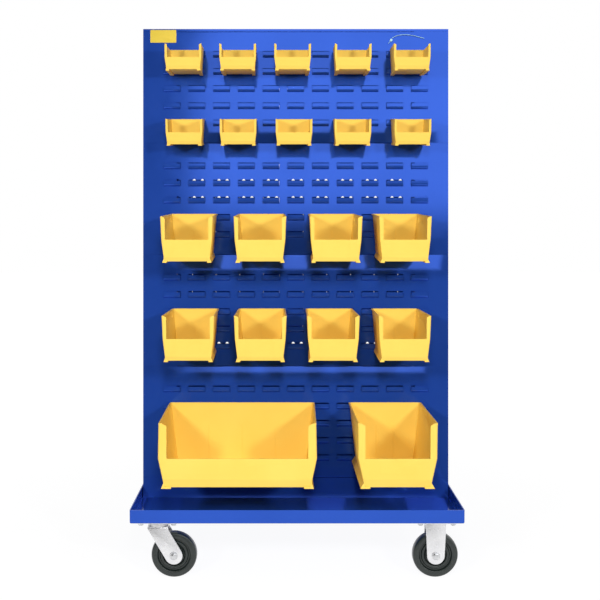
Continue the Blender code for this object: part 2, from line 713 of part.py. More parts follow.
def make_rigid_caster(name, x, y):
    """A rigid caster: its fork hangs straight from the plate."""
    plate_top = CASTER_HEIGHT - GAP
    plate_low = plate_top - CASTER_PLATE_THICKNESS
    origin = Matrix.Translation((x, y, 0.0))
    plate = add_part("rigid_fork_" + name,
                     box_mesh("rigid_fork", (CASTER_PLATE_LENGTH, CASTER_PLATE_WIDTH,
                                             CASTER_PLATE_THICKNESS),
                              (0.0, 0.0, plate_top - CASTER_PLATE_THICKNESS / 2),
                              CASTER_PLATE_CORNER), "zinc", origin)
    half = fork_half_width()
    crown_top = plate_low + BITE
    outline = fork_outline(0.0, crown_top)
    legs = add_cutter("legs_" + name, prism_mesh("legs", outline, -half, half, "Y"), origin)
    cut_fork(legs, "legs_" + name, origin, 0.0, crown_top)
    combine(plate, legs, "UNION")
    make_wheel(name, origin @ Matrix.Translation((0.0, 0.0, WHEEL_RADIUS)))


# Bins

def bin_levels(size):
    """Levels of the lip's edge, the skirt's fold and the floor below the rim."""
    bottom = -size["height"]
    return bottom + size["lip_share"] * size["height"], bottom + size["skirt"], bottom + BIN_FOOT


def bin_halves(size):
    """Half widths at the rim, the lip's edge and the floor in front, and at rim and floor behind."""
    half = size["width"] / 2
    return [half - draw for draw in (0.0, size["knee"], size["base"], size["back"],
                                     size["back_base"])]


def bin_shell(size):
    """The outer surface of a bin, with its rim at Z 0 and its back at Y 0."""
    knee, skirt, floor = bin_levels(size)
    rim_half, knee_half, base, back_half, back_base = bin_halves(size)
    front = -size["length"]
    sill = front + BIN_SKIRT_INSET
    column = rim_half - size["column"]
    bm = bmesh.new()

    def face(*corners):
        bm.faces.new([bm.verts.new(corner) for corner in corners])

    # The skirt's corner lies in the plane of the lower side wall
    across = Vector((base - knee_half, sill - front, floor - knee))
    normal = across.cross(Vector((back_base - knee_half, -front, floor - knee)))
    skirt_half = knee_half - normal.z * (skirt - knee) / normal.x
    face((back_half, 0.0, 0.0), (-back_half, 0.0, 0.0), (-back_base, 0.0, floor),
         (back_base, 0.0, floor))
    face((-back_base, 0.0, floor), (-base, sill, floor), (base, sill, floor),
         (back_base, 0.0, floor))
    face((-skirt_half, front, skirt), (skirt_half, front, skirt),
         (base, sill, floor), (-base, sill, floor))
    face((-skirt_half, front, skirt), (-knee_half, front, knee), (-column, front, knee),
         (column, front, knee), (knee_half, front, knee), (skirt_half, front, skirt))
    for sign in (-1, 1):
        corner = (sign * knee_half, front, knee)
        upper = [(sign * back_half, 0.0, 0.0), corner, (sign * rim_half, front, 0.0)]
        middle = [(sign * back_half, 0.0, 0.0), (sign * back_base, 0.0, floor), corner]
        lower = [(sign * back_base, 0.0, floor), (sign * base, sill, floor),
                 (sign * skirt_half, front, skirt), corner]
        post = [(sign * rim_half, front, 0.0), corner, (sign * column, front, knee),
                (sign * column, front, 0.0)]
        for corners in (upper, middle, lower, post):
            face(*(corners if sign > 0 else reversed(corners)))
    bmesh.ops.remove_doubles(bm, verts=bm.verts, dist=WELD)
    bmesh.ops.recalc_face_normals(bm, faces=bm.faces)
    floor_face = min(bm.faces, key=lambda f: f.calc_center_median().z)
    floor_face.normal_update()
    if floor_face.normal.z > 0.0:
        bmesh.ops.reverse_faces(bm, faces=bm.faces)
    return to_mesh("bin_shell", bm)


def rail_outline(size, sign, base, slope):
    """Cross-section of a base rail: it flares from the drawn-in wall and stands on its foot."""
    bottom = -size["height"]
    floor = bottom + BIN_FOOT
    rail_top = bottom + size["rail"]
    wall = base + slope * (rail_top - floor)
    outer = base + size["flare"]
    inner = outer - size["foot"]
    points = [(outer, bottom), (wall - BITE, rail_top),
              (base - BIN_WALL / 2, floor + BIN_WALL / 2),
              (inner, floor + BIN_WALL / 2), (inner, bottom)]
    return [(sign * x, z) for x, z in points]


def rail_mesh(name, size, sign):
    """A base rail, which follows the wall from the front of the bin to its back."""
    knee, _skirt, floor = bin_levels(size)
    _rim_half, knee_half, base, back_half, back_base = bin_halves(size)
    fore = rail_outline(size, sign, base, (knee_half - base) / (knee - floor))
    aft = rail_outline(size, sign, back_base, (back_base - back_half) / floor)
    front = BIN_SKIRT_INSET / 2 - size["length"]
    bm = bmesh.new()
    fore = [bm.verts.new((x, front, z)) for x, z in fore]
    aft = [bm.verts.new((x, -BIN_RAIL_SETBACK, z)) for x, z in aft]
    bm.faces.new(fore)
    bm.faces.new(aft)
    for number in range(len(fore)):
        following = (number + 1) % len(fore)
        bm.faces.new([fore[number], fore[following], aft[following]])
        bm.faces.new([fore[number], aft[following], aft[number]])
    bmesh.ops.recalc_face_normals(bm, faces=bm.faces)
    return to_mesh(name, bm)


def hanger_outline(size):
    """Side view of the hanger: a ledge behind the rim that turns down behind a louver."""
    top = -size["drop"]
    low = top - HANGER_SHEET
    inner = HANGER_REACH - HANGER_SHEET
    return [(-BIN_WALL / 2, top), (HANGER_REACH, top), (HANGER_REACH, low - HANGER_DEPTH),
            (inner, low - HANGER_DEPTH), (inner, low), (-BIN_WALL / 2, low)]


def bin_mesh(name, size):
    """One bin: its shell joined to two base rails and a rear hanger."""
    shell = add_cutter(name + "_shell", bin_shell(size), Matrix.Identity(4))
    thicken(shell, BIN_WALL)
    for side, sign in (("left", -1), ("right", 1)):
        rail = rail_mesh(name + "_rail", size, sign)
        combine(shell, add_cutter(name + "_rail_" + side, rail, Matrix.Identity(4)), "UNION")
    reach = size["width"] * HANGER_WIDTH_SHARE / 2
    hanger = prism_mesh(name + "_hanger", hanger_outline(size), -reach, reach, "X")
    combine(shell, add_cutter(name + "_hanger", hanger, Matrix.Identity(4)), "UNION")
    mesh = baked(shell)
    for obj in list(bpy.data.collections[CUTTERS].objects):
        if obj.name.startswith(name):
            bpy.data.objects.remove(obj)
    return mesh


def make_bins():
    """Twenty bins in five rows, each in its own node with its origin at its rim."""
    meshes = {name: bin_mesh("bin_" + name, size) for name, size in BIN_SIZES.items()}
    frame = face_matrix("front")
    for row_number, (section, row, droop_deg, places) in enumerate(BIN_ROW_SHARES, start=1):
        for number, (size_name, share) in enumerate(places, start=1):
            depth, height, tilt = bin_seat(BIN_SIZES[size_name], section, row, droop_deg)
            seat = Matrix.Translation((PANEL_WIDTH * share, depth, height))
            seat = seat @ Matrix.Rotation(tilt, 4, "X")
            name = "bin_" + size_name + "_r" + str(row_number) + "_" + str(number)
            add_part(name, meshes[size_name].copy(), "yellow", frame @ seat)


def main():
    clear_scene()
    make_tray()
    for side in ("front", "rear"):
        make_face(side)
        make_uprights(side)
    make_top_cap()
    make_end_braces()
    make_face_trim()
    for name, end, x, y in caster_places():
        if end == "left":
            make_swivel_caster(name, x, y)
        else:
            make_rigid_caster(name, x, y)
    make_bins()


main()
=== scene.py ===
"""The looks of the A-frame bin cart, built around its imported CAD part."""

import math

import bmesh
import bpy
from mathutils import Matrix, Vector


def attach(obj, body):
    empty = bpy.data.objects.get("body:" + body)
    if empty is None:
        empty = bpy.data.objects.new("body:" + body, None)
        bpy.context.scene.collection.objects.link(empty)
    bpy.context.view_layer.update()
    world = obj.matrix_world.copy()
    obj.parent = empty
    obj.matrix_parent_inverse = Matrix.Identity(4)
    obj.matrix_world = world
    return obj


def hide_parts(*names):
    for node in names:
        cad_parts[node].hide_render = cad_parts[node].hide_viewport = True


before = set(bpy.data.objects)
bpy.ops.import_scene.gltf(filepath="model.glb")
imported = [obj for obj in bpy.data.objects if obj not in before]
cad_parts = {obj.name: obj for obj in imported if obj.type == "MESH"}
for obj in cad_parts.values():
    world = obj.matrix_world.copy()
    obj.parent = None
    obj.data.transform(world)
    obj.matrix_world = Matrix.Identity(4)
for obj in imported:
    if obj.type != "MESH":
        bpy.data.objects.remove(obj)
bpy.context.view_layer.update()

# Sizes that the CAD part has, in metres
CART_Y = 0.053071
LEAN = math.radians(3.0)
FLOOR_TOP = 0.1675
HALF_FOOT = 0.106
PANEL_WIDTH = 0.912
PANEL_SLOPE = 1.4009
CAP_BAND = 0.0075
BASE_BAND = 0.0606
SECTIONS = 4
SECTION_HEIGHT = 0.3332
SEAM = 0.0008
SHEET = 0.0015
COLUMNS = 11
ROWS = 5
PITCH_X = 0.0739
PITCH_Z = 0.05125
FIRST_ROW = 0.0684
LOUVER_WIDTH = 0.050
LOUVER_HEIGHT = 0.020
LOUVER_TONGUE = 0.017
LOUVER_REACH = 0.008
FLANGE_HALF = 0.354
SEAM_FLANGE = 0.012
CASTER_HEIGHT = 0.165
WHEEL_RADIUS = 0.0635
KINGPIN_X = 0.387
CASTER_Y = 0.318
SWIVEL_TRAIL = 0.044
FORK_HALF = 0.0237
FORK_SHEET = 0.004
FORK_CROWN = 0.057
FORK_TIP = 0.0245
CASTER_PLATE = 0.004
RACE_DEPTH = 0.014
GAP = 0.0003

# Outer sizes, and then details. The half width is drawn in by knee at the lip's edge, by base
# at the floor in front, by back at the rim behind and by back_base at the floor behind. lip is
# the lip's height as a share of the bin's. column is the front posts' width, skirt the height
# of the sloped band under the lip, rail, foot and flare the base rails' height, width and
# spread, and drop how far below the rim the hanger starts.
BIN_SIZES = {
    "small": dict(width=0.105, height=0.076, length=0.137, knee=0.0, base=0.005, back=0.002,
                  back_base=0.0065, lip=0.500, column=0.0065, skirt=0.0132, rail=0.009, foot=0.010,
                  flare=0.0025, drop=0.0006, ribs=0, label=0.0, corner=0.0020, bead=0.0014),
    "medium": dict(width=0.144, height=0.127, length=0.276, knee=0.0025, base=0.010, back=0.0045,
                   back_base=0.0153, lip=0.500, column=0.0125, skirt=0.0142, rail=0.011,
                   foot=0.012, flare=0.0055, drop=0.0006, ribs=1, label=0.074, corner=0.0040,
                   bead=0.0026),
    "large": dict(width=0.211, height=0.175, length=0.375, knee=0.0008, base=0.0185, back=0.0001,
                  back_base=0.0188, lip=0.460, column=0.0195, skirt=0.024, rail=0.015, foot=0.026,
                  flare=0.0114, drop=0.0036, ribs=2, label=0.095, corner=0.0050, bead=0.0026),
    "wide": dict(width=0.417, height=0.175, length=0.375, knee=-0.0020, base=0.0150, back=-0.0045,
                 back_base=0.0145, lip=0.460, column=0.021, skirt=0.024, rail=0.015, foot=0.026,
                 flare=0.0089, drop=0.0036, ribs=3, label=0.100, corner=0.0050, bead=0.0026),
}
# For each row of bins: the sheet and the louver row that it hangs on, how many degrees it
# droops, and each bin's size and place across the face's width
BIN_ROWS = (
    (0, 0, 0.7, (("small", -0.3554), ("small", -0.1842), ("small", -0.0122),
                 ("small", 0.1774), ("small", 0.3622))),
    (0, 4, 4.5, (("small", -0.3525), ("small", -0.1829), ("small", -0.0077),
                 ("small", 0.1768), ("small", 0.3646))),
    (1, 3, 1.55, (("medium", -0.3315), ("medium", -0.1116), ("medium", 0.1166),
                  ("medium", 0.3239))),
    (2, 2, -0.6, (("medium", -0.3271), ("medium", -0.1107), ("medium", 0.1082),
                  ("medium", 0.3221))),
    (3, 1, -1.1, (("wide", -0.1751), ("large", 0.2900))),
)
BIN_WALL = 0.0024
BIN_FOOT = 0.004
HANGER_REACH = 0.0175
HANGER_SHEET = 0.0020
HANGER_DEPTH = 0.009


# Materials

# The part of the noise's range over which a colour, or a roughness, goes from end to end
COLOUR_SPAN = (0.35, 0.65)
ROUGH_SPAN = (0.3, 0.7)
COAT_ROUGHNESS = 0.2


def new_material(name):
    material = bpy.data.materials.new(name)
    material.use_nodes = True
    tree = material.node_tree
    return material, tree, tree.nodes["Principled BSDF"]


def add_noise(tree, scale, detail=2.0):
    """Noise in the piece's own metres."""
    coordinates = tree.nodes.new("ShaderNodeTexCoord")
    noise = tree.nodes.new("ShaderNodeTexNoise")
    noise.inputs["Scale"].default_value = scale
    noise.inputs["Detail"].default_value = detail
    tree.links.new(coordinates.outputs["Object"], noise.inputs["Vector"])
    return noise.outputs["Fac"]


def add_ramp(tree, source, low, high):
    """Turn noise into a colour between two others."""
    ramp = tree.nodes.new("ShaderNodeValToRGB")
    for element, position, colour in zip(ramp.color_ramp.elements, COLOUR_SPAN, (low, high)):
        element.position = position
        element.color = (*colour, 1.0)
    tree.links.new(source, ramp.inputs["Fac"])
    return ramp.outputs["Color"]


def add_range(tree, source, low, high, start=ROUGH_SPAN[0], stop=ROUGH_SPAN[1]):
    """Spread a value, clamped between a start and a stop, over a range."""
    spread = tree.nodes.new("ShaderNodeMapRange")
    for socket, value in (("From Min", start), ("From Max", stop), ("To Min", low),
                          ("To Max", high)):
        spread.inputs[socket].default_value = value
    tree.links.new(source, spread.inputs["Value"])
    return spread.outputs["Result"]


def add_bump(tree, shader, source, strength, distance):
    bump = tree.nodes.new("ShaderNodeBump")
    bump.inputs["Strength"].default_value = strength
    bump.inputs["Distance"].default_value = distance
    tree.links.new(source, bump.inputs["Height"])
    tree.links.new(bump.outputs["Normal"], shader.inputs["Normal"])


def surface(name, low, high, rough, metallic=0.0, colour_scale=6.0, bump_scale=400.0,
            bump=0.05, bump_depth=0.0003, coat=0.0, specular=0.5):
    """A finish whose colour and roughness drift, over a fine bump."""
    material, tree, shader = new_material(name)
    drift = add_noise(tree, colour_scale, 3.0)
    tree.links.new(add_ramp(tree, drift, low, high), shader.inputs["Base Color"])
    worn = add_noise(tree, colour_scale * 4.0, 4.0)
    tree.links.new(add_range(tree, worn, *rough), shader.inputs["Roughness"])
    shader.inputs["Metallic"].default_value = metallic
    shader.inputs["Coat Weight"].default_value = coat
    shader.inputs["Coat Roughness"].default_value = COAT_ROUGHNESS
    shader.inputs["Specular IOR Level"].default_value = specular
    add_bump(tree, shader, add_noise(tree, bump_scale), bump, bump_depth)
    return material


BLUE = surface("blue_powder_coat", (0.022, 0.087, 0.50), (0.025, 0.095, 0.54), (0.07, 0.10),
               metallic=0.4, colour_scale=5.0, bump_scale=520.0, bump=0.06, bump_depth=0.0002,
               specular=0.2)
YELLOW = surface("yellow_polypropylene", (0.98, 0.66, 0.118), (0.99, 0.69, 0.134), (0.42, 0.54),
                 colour_scale=9.0, bump_scale=700.0, bump=0.10, bump_depth=0.0002, specular=0.25)
PLATE = surface("yellow_plate", (0.80, 0.59, 0.070), (0.83, 0.62, 0.085), (0.42, 0.52),
                colour_scale=30.0, bump_scale=900.0, bump=0.05)
TIE = surface("pale_blue_tie", (0.42, 0.76, 0.90), (0.52, 0.84, 0.95), (0.30, 0.42),
              colour_scale=60.0, bump_scale=1200.0, bump=0.08)
ZINC = surface("bright_zinc", (0.86, 0.86, 0.88), (0.93, 0.93, 0.94), (0.26, 0.40),
               metallic=1.0, colour_scale=30.0, bump_scale=500.0, bump=0.08)
BOLT = surface("zinc_bolt", (0.66, 0.67, 0.69), (0.78, 0.78, 0.78), (0.28, 0.42),
               metallic=1.0, colour_scale=60.0, bump_scale=900.0, bump=0.1)
TYRE = surface("grey_moulded_wheel", (0.010, 0.015, 0.014), (0.015, 0.021, 0.019), (0.32, 0.46),
               colour_scale=40.0, bump_scale=800.0, bump=0.12, coat=0.35)
BRONZE = surface("sintered_bush", (0.42, 0.30, 0.14), (0.52, 0.38, 0.19), (0.42, 0.58),
                 metallic=1.0, colour_scale=90.0, bump_scale=1500.0, bump=0.2)
GREASE = surface("greased_race", (0.62, 0.62, 0.63), (0.74, 0.74, 0.75), (0.30, 0.45),
                 metallic=1.0, colour_scale=90.0, bump_scale=900.0, bump=0.2)


# Building blocks

WELD = 0.00001
TINY = 1e-6
SHARP_DEG = 35.0


def place(name, mesh, material, body, matrix=None, replaced=()):
    """Put a mesh in the scene as a piece that rides on a body."""
    obj = bpy.data.objects.new(name, mesh)
    bpy.context.scene.collection.objects.link(obj)
    if not mesh.materials:
        mesh.materials.append(material)
        mesh.shade_smooth()
        mesh.set_sharp_from_angle(angle=math.radians(SHARP_DEG))
    obj.matrix_world = matrix or Matrix.Identity(4)
    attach(obj, body)
    if replaced:
        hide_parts(*replaced)


def finished(name, bm, thickness=0.0, bevel=0.0, segments=2, angle_deg=40.0, cutter=None):
    """Turn a bmesh into a mesh, thickened behind its faces, cut, and with its edges broken."""
    mesh = bpy.data.meshes.new(name)
    bm.to_mesh(mesh)
    bm.free()
    if not thickness and not bevel:
        return mesh
    obj = bpy.data.objects.new(name, mesh)
    bpy.context.scene.collection.objects.link(obj)
    if thickness:
        solidify = obj.modifiers.new("Thickness", "SOLIDIFY")
        solidify.thickness = thickness
        solidify.offset = -1.0
        solidify.use_even_offset = True
        solidify.use_quality_normals = True
    tool = None
    if cutter is not None:
        cut_mesh = bpy.data.meshes.new(name + "_cutter")
        cutter.to_mesh(cut_mesh)
        cutter.free()
        tool = bpy.data.objects.new(name + "_cutter", cut_mesh)
        bpy.context.scene.collection.objects.link(tool)
        carve = obj.modifiers.new("Cut", "BOOLEAN")
        carve.operation = "DIFFERENCE"
        carve.solver = "EXACT"
        carve.object = tool
    if bevel:
        edges = obj.modifiers.new("Edges", "BEVEL")
        edges.width = bevel
        edges.segments = segments
        edges.limit_method = "ANGLE"
        edges.angle_limit = math.radians(angle_deg)
        edges.use_clamp_overlap = True
    bpy.context.view_layer.update()
    graph = bpy.context.evaluated_depsgraph_get()
    result = bpy.data.meshes.new_from_object(obj.evaluated_get(graph))
    bpy.data.objects.remove(obj)
    if tool is not None:
        bpy.data.objects.remove(tool)
    result.name = name
    return result


def face(bm, corners):
    return bm.faces.new([bm.verts.new(corner) for corner in corners])


def weld(bm):
    bmesh.ops.remove_doubles(bm, verts=bm.verts, dist=WELD)


def outward(bm):
    bmesh.ops.recalc_face_normals(bm, faces=bm.faces)


def lathe(bm, profile, facets, matrix=None):
    """Turn a profile of (radius, height) pairs about Z, and close it where it meets the axis."""
    rings = []
    for radius, height in profile:
        if radius < TINY:
            rings.append([bm.verts.new((0.0, 0.0, height))])
            continue
        rings.append([bm.verts.new((radius * math.cos(math.tau * k / facets),
                                    radius * math.sin(math.tau * k / facets), height))
                      for k in range(facets)])
    for upper, lower in zip(rings, rings[1:]):
        for k in range(facets):
            n = (k + 1) % facets
            corners = [upper[k % len(upper)], lower[k % len(lower)],
                       lower[n % len(lower)], upper[n % len(upper)]]
            unique = []
            for vert in corners:
                if vert not in unique:
                    unique.append(vert)
            if len(unique) > 2:
                bm.faces.new(unique)
    if matrix is not None:
        verts = [vert for ring in rings for vert in ring]
        bmesh.ops.transform(bm, matrix=matrix, verts=verts)


def push(bm, outline, offset):
    """A solid from a flat outline of 3-D points, pushed by an offset."""
    base = face(bm, outline)
    pushed = bmesh.ops.extrude_face_region(bm, geom=[base])
    moved = [item for item in pushed["geom"] if isinstance(item, bmesh.types.BMVert)]
    bmesh.ops.translate(bm, vec=offset, verts=moved)


def block(bm, low, high):
    """A box between two corners."""
    (x0, y0, z0), (x1, y1, z1) = low, high
    push(bm, [(x0, y0, z0), (x1, y0, z0), (x1, y1, z0), (x0, y1, z0)], (0.0, 0.0, z1 - z0))


def arc(centre, radius, start_deg, end_deg, steps):
    """Points on an arc in a plane."""
    points = []
    for step in range(steps + 1):
        angle = math.radians(start_deg + (end_deg - start_deg) * step / steps)
        points.append((centre[0] + radius * math.cos(angle),
                       centre[1] + radius * math.sin(angle)))
    return points


def rounded(half_x, half_y, radius, steps):
    """A rectangle's outline with rounded corners."""
    x, y = half_x - radius, half_y - radius
    points = []
    for centre, start_deg in (((x, y), 0), ((-x, y), 90), ((-x, -y), 180), ((x, -y), 270)):
        points += arc(centre, radius, start_deg, start_deg + 90, steps)
    return points


def face_matrix(side):
    """The frame of a louvered face: X along it, Z up its slope, -Y out of it."""
    turn = Matrix.Rotation(0.0 if side == "front" else math.pi, 4, "Z")
    spread = Matrix.Translation((0.0, -HALF_FOOT, 0.0))
    lean = Matrix.Rotation(-LEAN, 4, "X")
    return Matrix.Translation((0.0, CART_Y, FLOOR_TOP)) @ turn @ spread @ lean


# Louvered sheets

# How much the tongue narrows to its tip, and the rear tongues' length along their slope
LOUVER_DRAFT = 0.0008
REAR_TONGUE = 0.0204
# Relief notches: where the pair lies in a louver, and the outlines in sheet and tongue
NOTCH_SHIFT = 0.0045
NOTCH_SPREAD = 0.0122
SHEET_NOTCH = ((-0.0027, 0.0), (-0.0026, 0.0010), (-0.0015, 0.0022), (0.0015, 0.0022),
               (0.0026, 0.0010), (0.0027, 0.0))
TIP_NOTCH = ((-0.0027, 0.0), (-0.0022, -0.0015), (0.0022, -0.0015), (0.0027, 0.0))
# For the sheet and row of each line of notches: how much higher the holes in the rear sheet
# lie, and how much wider they are spaced, as seen in one line from the eye's place along X
RELIEF_ROWS = {(2, 2): (0.0139, 1.0334), (2, 3): (0.0122, 1.0350), (3, 5): (-0.0085, 1.0493)}
RELIEF_EYE = 0.047
# The holes' half width and height, and the depth that their cutters span
RELIEF_HOLE = (0.0045, 0.0027)
RELIEF_CUT = (-0.012, 0.004)
FOLD_RADIUS = 0.0022
FOLD_STEPS = 4
# A tongue's section: how far out of the sheet, and how high over its foot
TONGUE = ((0.0, 0.0), (0.0012, 0.0003), (0.0034, 0.0013), (0.0061, 0.0034), (0.0074, 0.0052),
          (0.0078, 0.0064), (0.00785, 0.0072), (0.0079, 0.0120), (0.0080, 0.0170))


def louver_sheet(side, number):
    """One sheet of a face: 11 x 5 lanced louvers, with rolled folds between the uprights."""
    bm = bmesh.new()
    height = SECTION_HEIGHT - SEAM
    half = PANEL_WIDTH / 2
    reach = LOUVER_WIDTH / 2
    tip = LOUVER_TONGUE if side == "front" else REAR_TONGUE
    columns = [(k - (COLUMNS - 1) / 2) * PITCH_X for k in range(COLUMNS)]
    rows = [(height + SEAM / 2 - FIRST_ROW - k * PITCH_Z - LOUVER_HEIGHT / 2,
             side == "front" and (number, k + 1) in RELIEF_ROWS) for k in reversed(range(ROWS))]

    def edge(left, right, level, middle, outline):
        points = [(left, level)]
        for centre in (middle + NOTCH_SHIFT - NOTCH_SPREAD, middle + NOTCH_SHIFT + NOTCH_SPREAD):
            points += [(centre + a, level + b) for a, b in outline]
        return points + [(right, level)]

    def cut(level, relieved):
        points = [(-half, level)]
        for middle in columns:
            points += edge(middle - reach, middle + reach, level, middle,
                           SHEET_NOTCH if relieved else ())
        return points + [(half, level)]

    def fold(level, inward):
        return [(-half, level), (-FLANGE_HALF, level), (-FLANGE_HALF, level + inward),
                (FLANGE_HALF, level + inward), (FLANGE_HALF, level), (half, level)]

    lowers = [fold(0.0, FOLD_RADIUS)] + [cut(low + LOUVER_HEIGHT, relieved)
                                         for low, relieved in rows]
    uppers = [cut(low, False) for low, _relieved in rows] + [fold(height, -FOLD_RADIUS)]
    for lower, upper in zip(lowers, uppers):
        face(bm, [(x, 0.0, z) for x, z in lower] + [(x, 0.0, z) for x, z in reversed(upper)])
    edges = [-half] + [x for middle in columns for x in (middle - reach, middle + reach)] + [half]
    tongue = list(TONGUE[:-1]) + [(LOUVER_REACH, tip)]
    for low, relieved in rows:
        for left, right in zip(edges[::2], edges[1::2]):
            face(bm, [(left, 0.0, low), (right, 0.0, low),
                      (right, 0.0, low + LOUVER_HEIGHT), (left, 0.0, low + LOUVER_HEIGHT)])
        for middle in columns:
            for (out_a, up_a), (out_b, up_b) in zip(tongue, tongue[1:]):
                a = reach - LOUVER_DRAFT * up_a / tip
                b = reach - LOUVER_DRAFT * up_b / tip
                top = edge(middle - b, middle + b, up_b, middle,
                           TIP_NOTCH if relieved and up_b == tip else ())
                slope = (out_b - out_a) / (up_b - up_a)
                face(bm, [(middle - a, -out_a, low + up_a), (middle + a, -out_a, low + up_a)]
                     + [(x, slope * (up_b - up) - out_b, low + up) for x, up in reversed(top)])
    for level, sign in ((height, 1.0), (0.0, -1.0)):
        angles = [math.radians(step * 90.0 / FOLD_STEPS) for step in range(FOLD_STEPS + 1)]
        bend = [(FOLD_RADIUS * (1 - math.cos(angle)),
                 level - sign * FOLD_RADIUS * (1 - math.sin(angle))) for angle in angles]
        bend.append((SEAM_FLANGE, level))
        for (y_a, z_a), (y_b, z_b) in zip(bend, bend[1:]):
            corners = [(-FLANGE_HALF, y_a, z_a), (FLANGE_HALF, y_a, z_a),
                       (FLANGE_HALF, y_b, z_b), (-FLANGE_HALF, y_b, z_b)]
            face(bm, corners if sign > 0 else reversed(corners))
    weld(bm)
    holes = None
    if side == "rear" and any(section == number for section, _row in RELIEF_ROWS):
        holes = relief_holes(number, columns, height + SEAM / 2 - FIRST_ROW)
    return finished("louver_sheet", bm, thickness=SHEET, cutter=holes)


def relief_holes(number, columns, first_middle):
    """Blocks that cut the holes behind the relief notches of the front sheets."""
    holes = bmesh.new()
    half_x, half_z = RELIEF_HOLE
    for (section, row), (up, spread) in RELIEF_ROWS.items():
        if section != number:
            continue
        middle_row = first_middle - (row - 1) * PITCH_Z
        for middle in columns:
            for sign in (-1, 1):
                across = RELIEF_EYE - (middle + NOTCH_SHIFT + sign * NOTCH_SPREAD
                                       + RELIEF_EYE) * spread
                block(holes, (across - half_x, RELIEF_CUT[0], middle_row + up - half_z),
                      (across + half_x, RELIEF_CUT[1], middle_row + up + half_z))
    outward(holes)
    return holes


def make_sheets():
    for side in ("front", "rear"):
        for number in range(1, SECTIONS + 1):
            foot = BASE_BAND + (SECTIONS - number) * SECTION_HEIGHT + SEAM / 2
            matrix = face_matrix(side) @ Matrix.Translation((0.0, 0.0, foot))
            place(f"louvered_sheet_{side}_{number}", louver_sheet(side, number), BLUE, "cart",
                  matrix, [f"louver_panel_{side}_{number}"])


# Bins

# How far off the face a hanger bears, how far small details reach into or out of a wall, and
# the sizes and shares of a bin's sizes that place its details
BEARING = 0.0004
SKIN = 0.0008
SILL_SHARE = 0.24
COLUMN_STEP = 0.35
POST_STEPS = 3
SOFT_SHARE, SOFT_LEAST, SOFT_STEPS = 0.028, 0.002, 4
RECESS_LENGTHS = (-0.14, -0.50)
RECESS_LEVELS = (-0.075, -0.185)
RECESS_BEHIND, RECESS_CUT = 0.004, 0.0056
RAIL_START, RAIL_END = 0.003, -0.0015
RAIL_ROUND = 0.0004
RAIL_TOE = 0.0014
BEAD_SHARE = 0.004 / 0.127
BEAD_START, BEAD_END = 0.002, -0.001
HANGER_SHARE = 0.4
HANGER_ROUND = 0.001
GUSSET_SPREAD, GUSSET_DEPTH, GUSSET_FOOT = 1.7, 0.010, 0.004
WIDE_BIN = 0.3
RIB_HALF, RIB_PITCH, RIB_TOP = 0.0022, 0.235, 0.62
LABEL_BELOW_LIP, LABEL_SHARE = 0.008, 0.58
LABEL_RIM, LABEL_PROUD, LABEL_ROOT = 0.0014, 0.0002, 0.0012


def bin_seat(size, section, row, droop_deg):
    """Depth, height and tilt of a bin against the face, as in the CAD part."""
    tilt = LEAN + math.radians(droop_deg)
    bend = math.atan(LOUVER_REACH / LOUVER_TONGUE)
    corner_out = LOUVER_REACH - SHEET * math.cos(bend)
    corner_up = SHEET * math.sin(bend)
    underside = -size["drop"] - HANGER_SHEET
    lip_end = underside - HANGER_DEPTH
    depth = -BEARING - (HANGER_REACH * math.cos(tilt) - lip_end * math.sin(tilt))
    over_edge = (-corner_out - depth + underside * math.sin(tilt)) / math.cos(tilt)
    rise = over_edge * math.sin(tilt) + underside * math.cos(tilt)
    top = PANEL_SLOPE - CAP_BAND - section * SECTION_HEIGHT
    edge = top - FIRST_ROW - row * PITCH_Z + LOUVER_TONGUE - LOUVER_HEIGHT / 2
    return depth, edge + corner_up + GAP - rise, tilt


def bin_levels(size):
    """Levels of the lip's edge, the skirt's fold and the floor below the rim."""
    bottom = -size["height"]
    return bottom + size["lip"] * size["height"], bottom + size["skirt"], bottom + BIN_FOOT


def bin_halves(size):
    """Half widths at rim, lip's edge and floor in front, and at rim and floor behind."""
    half = size["width"] / 2
    return [half] + [half - size[draw] for draw in ("knee", "base", "back", "back_base")]


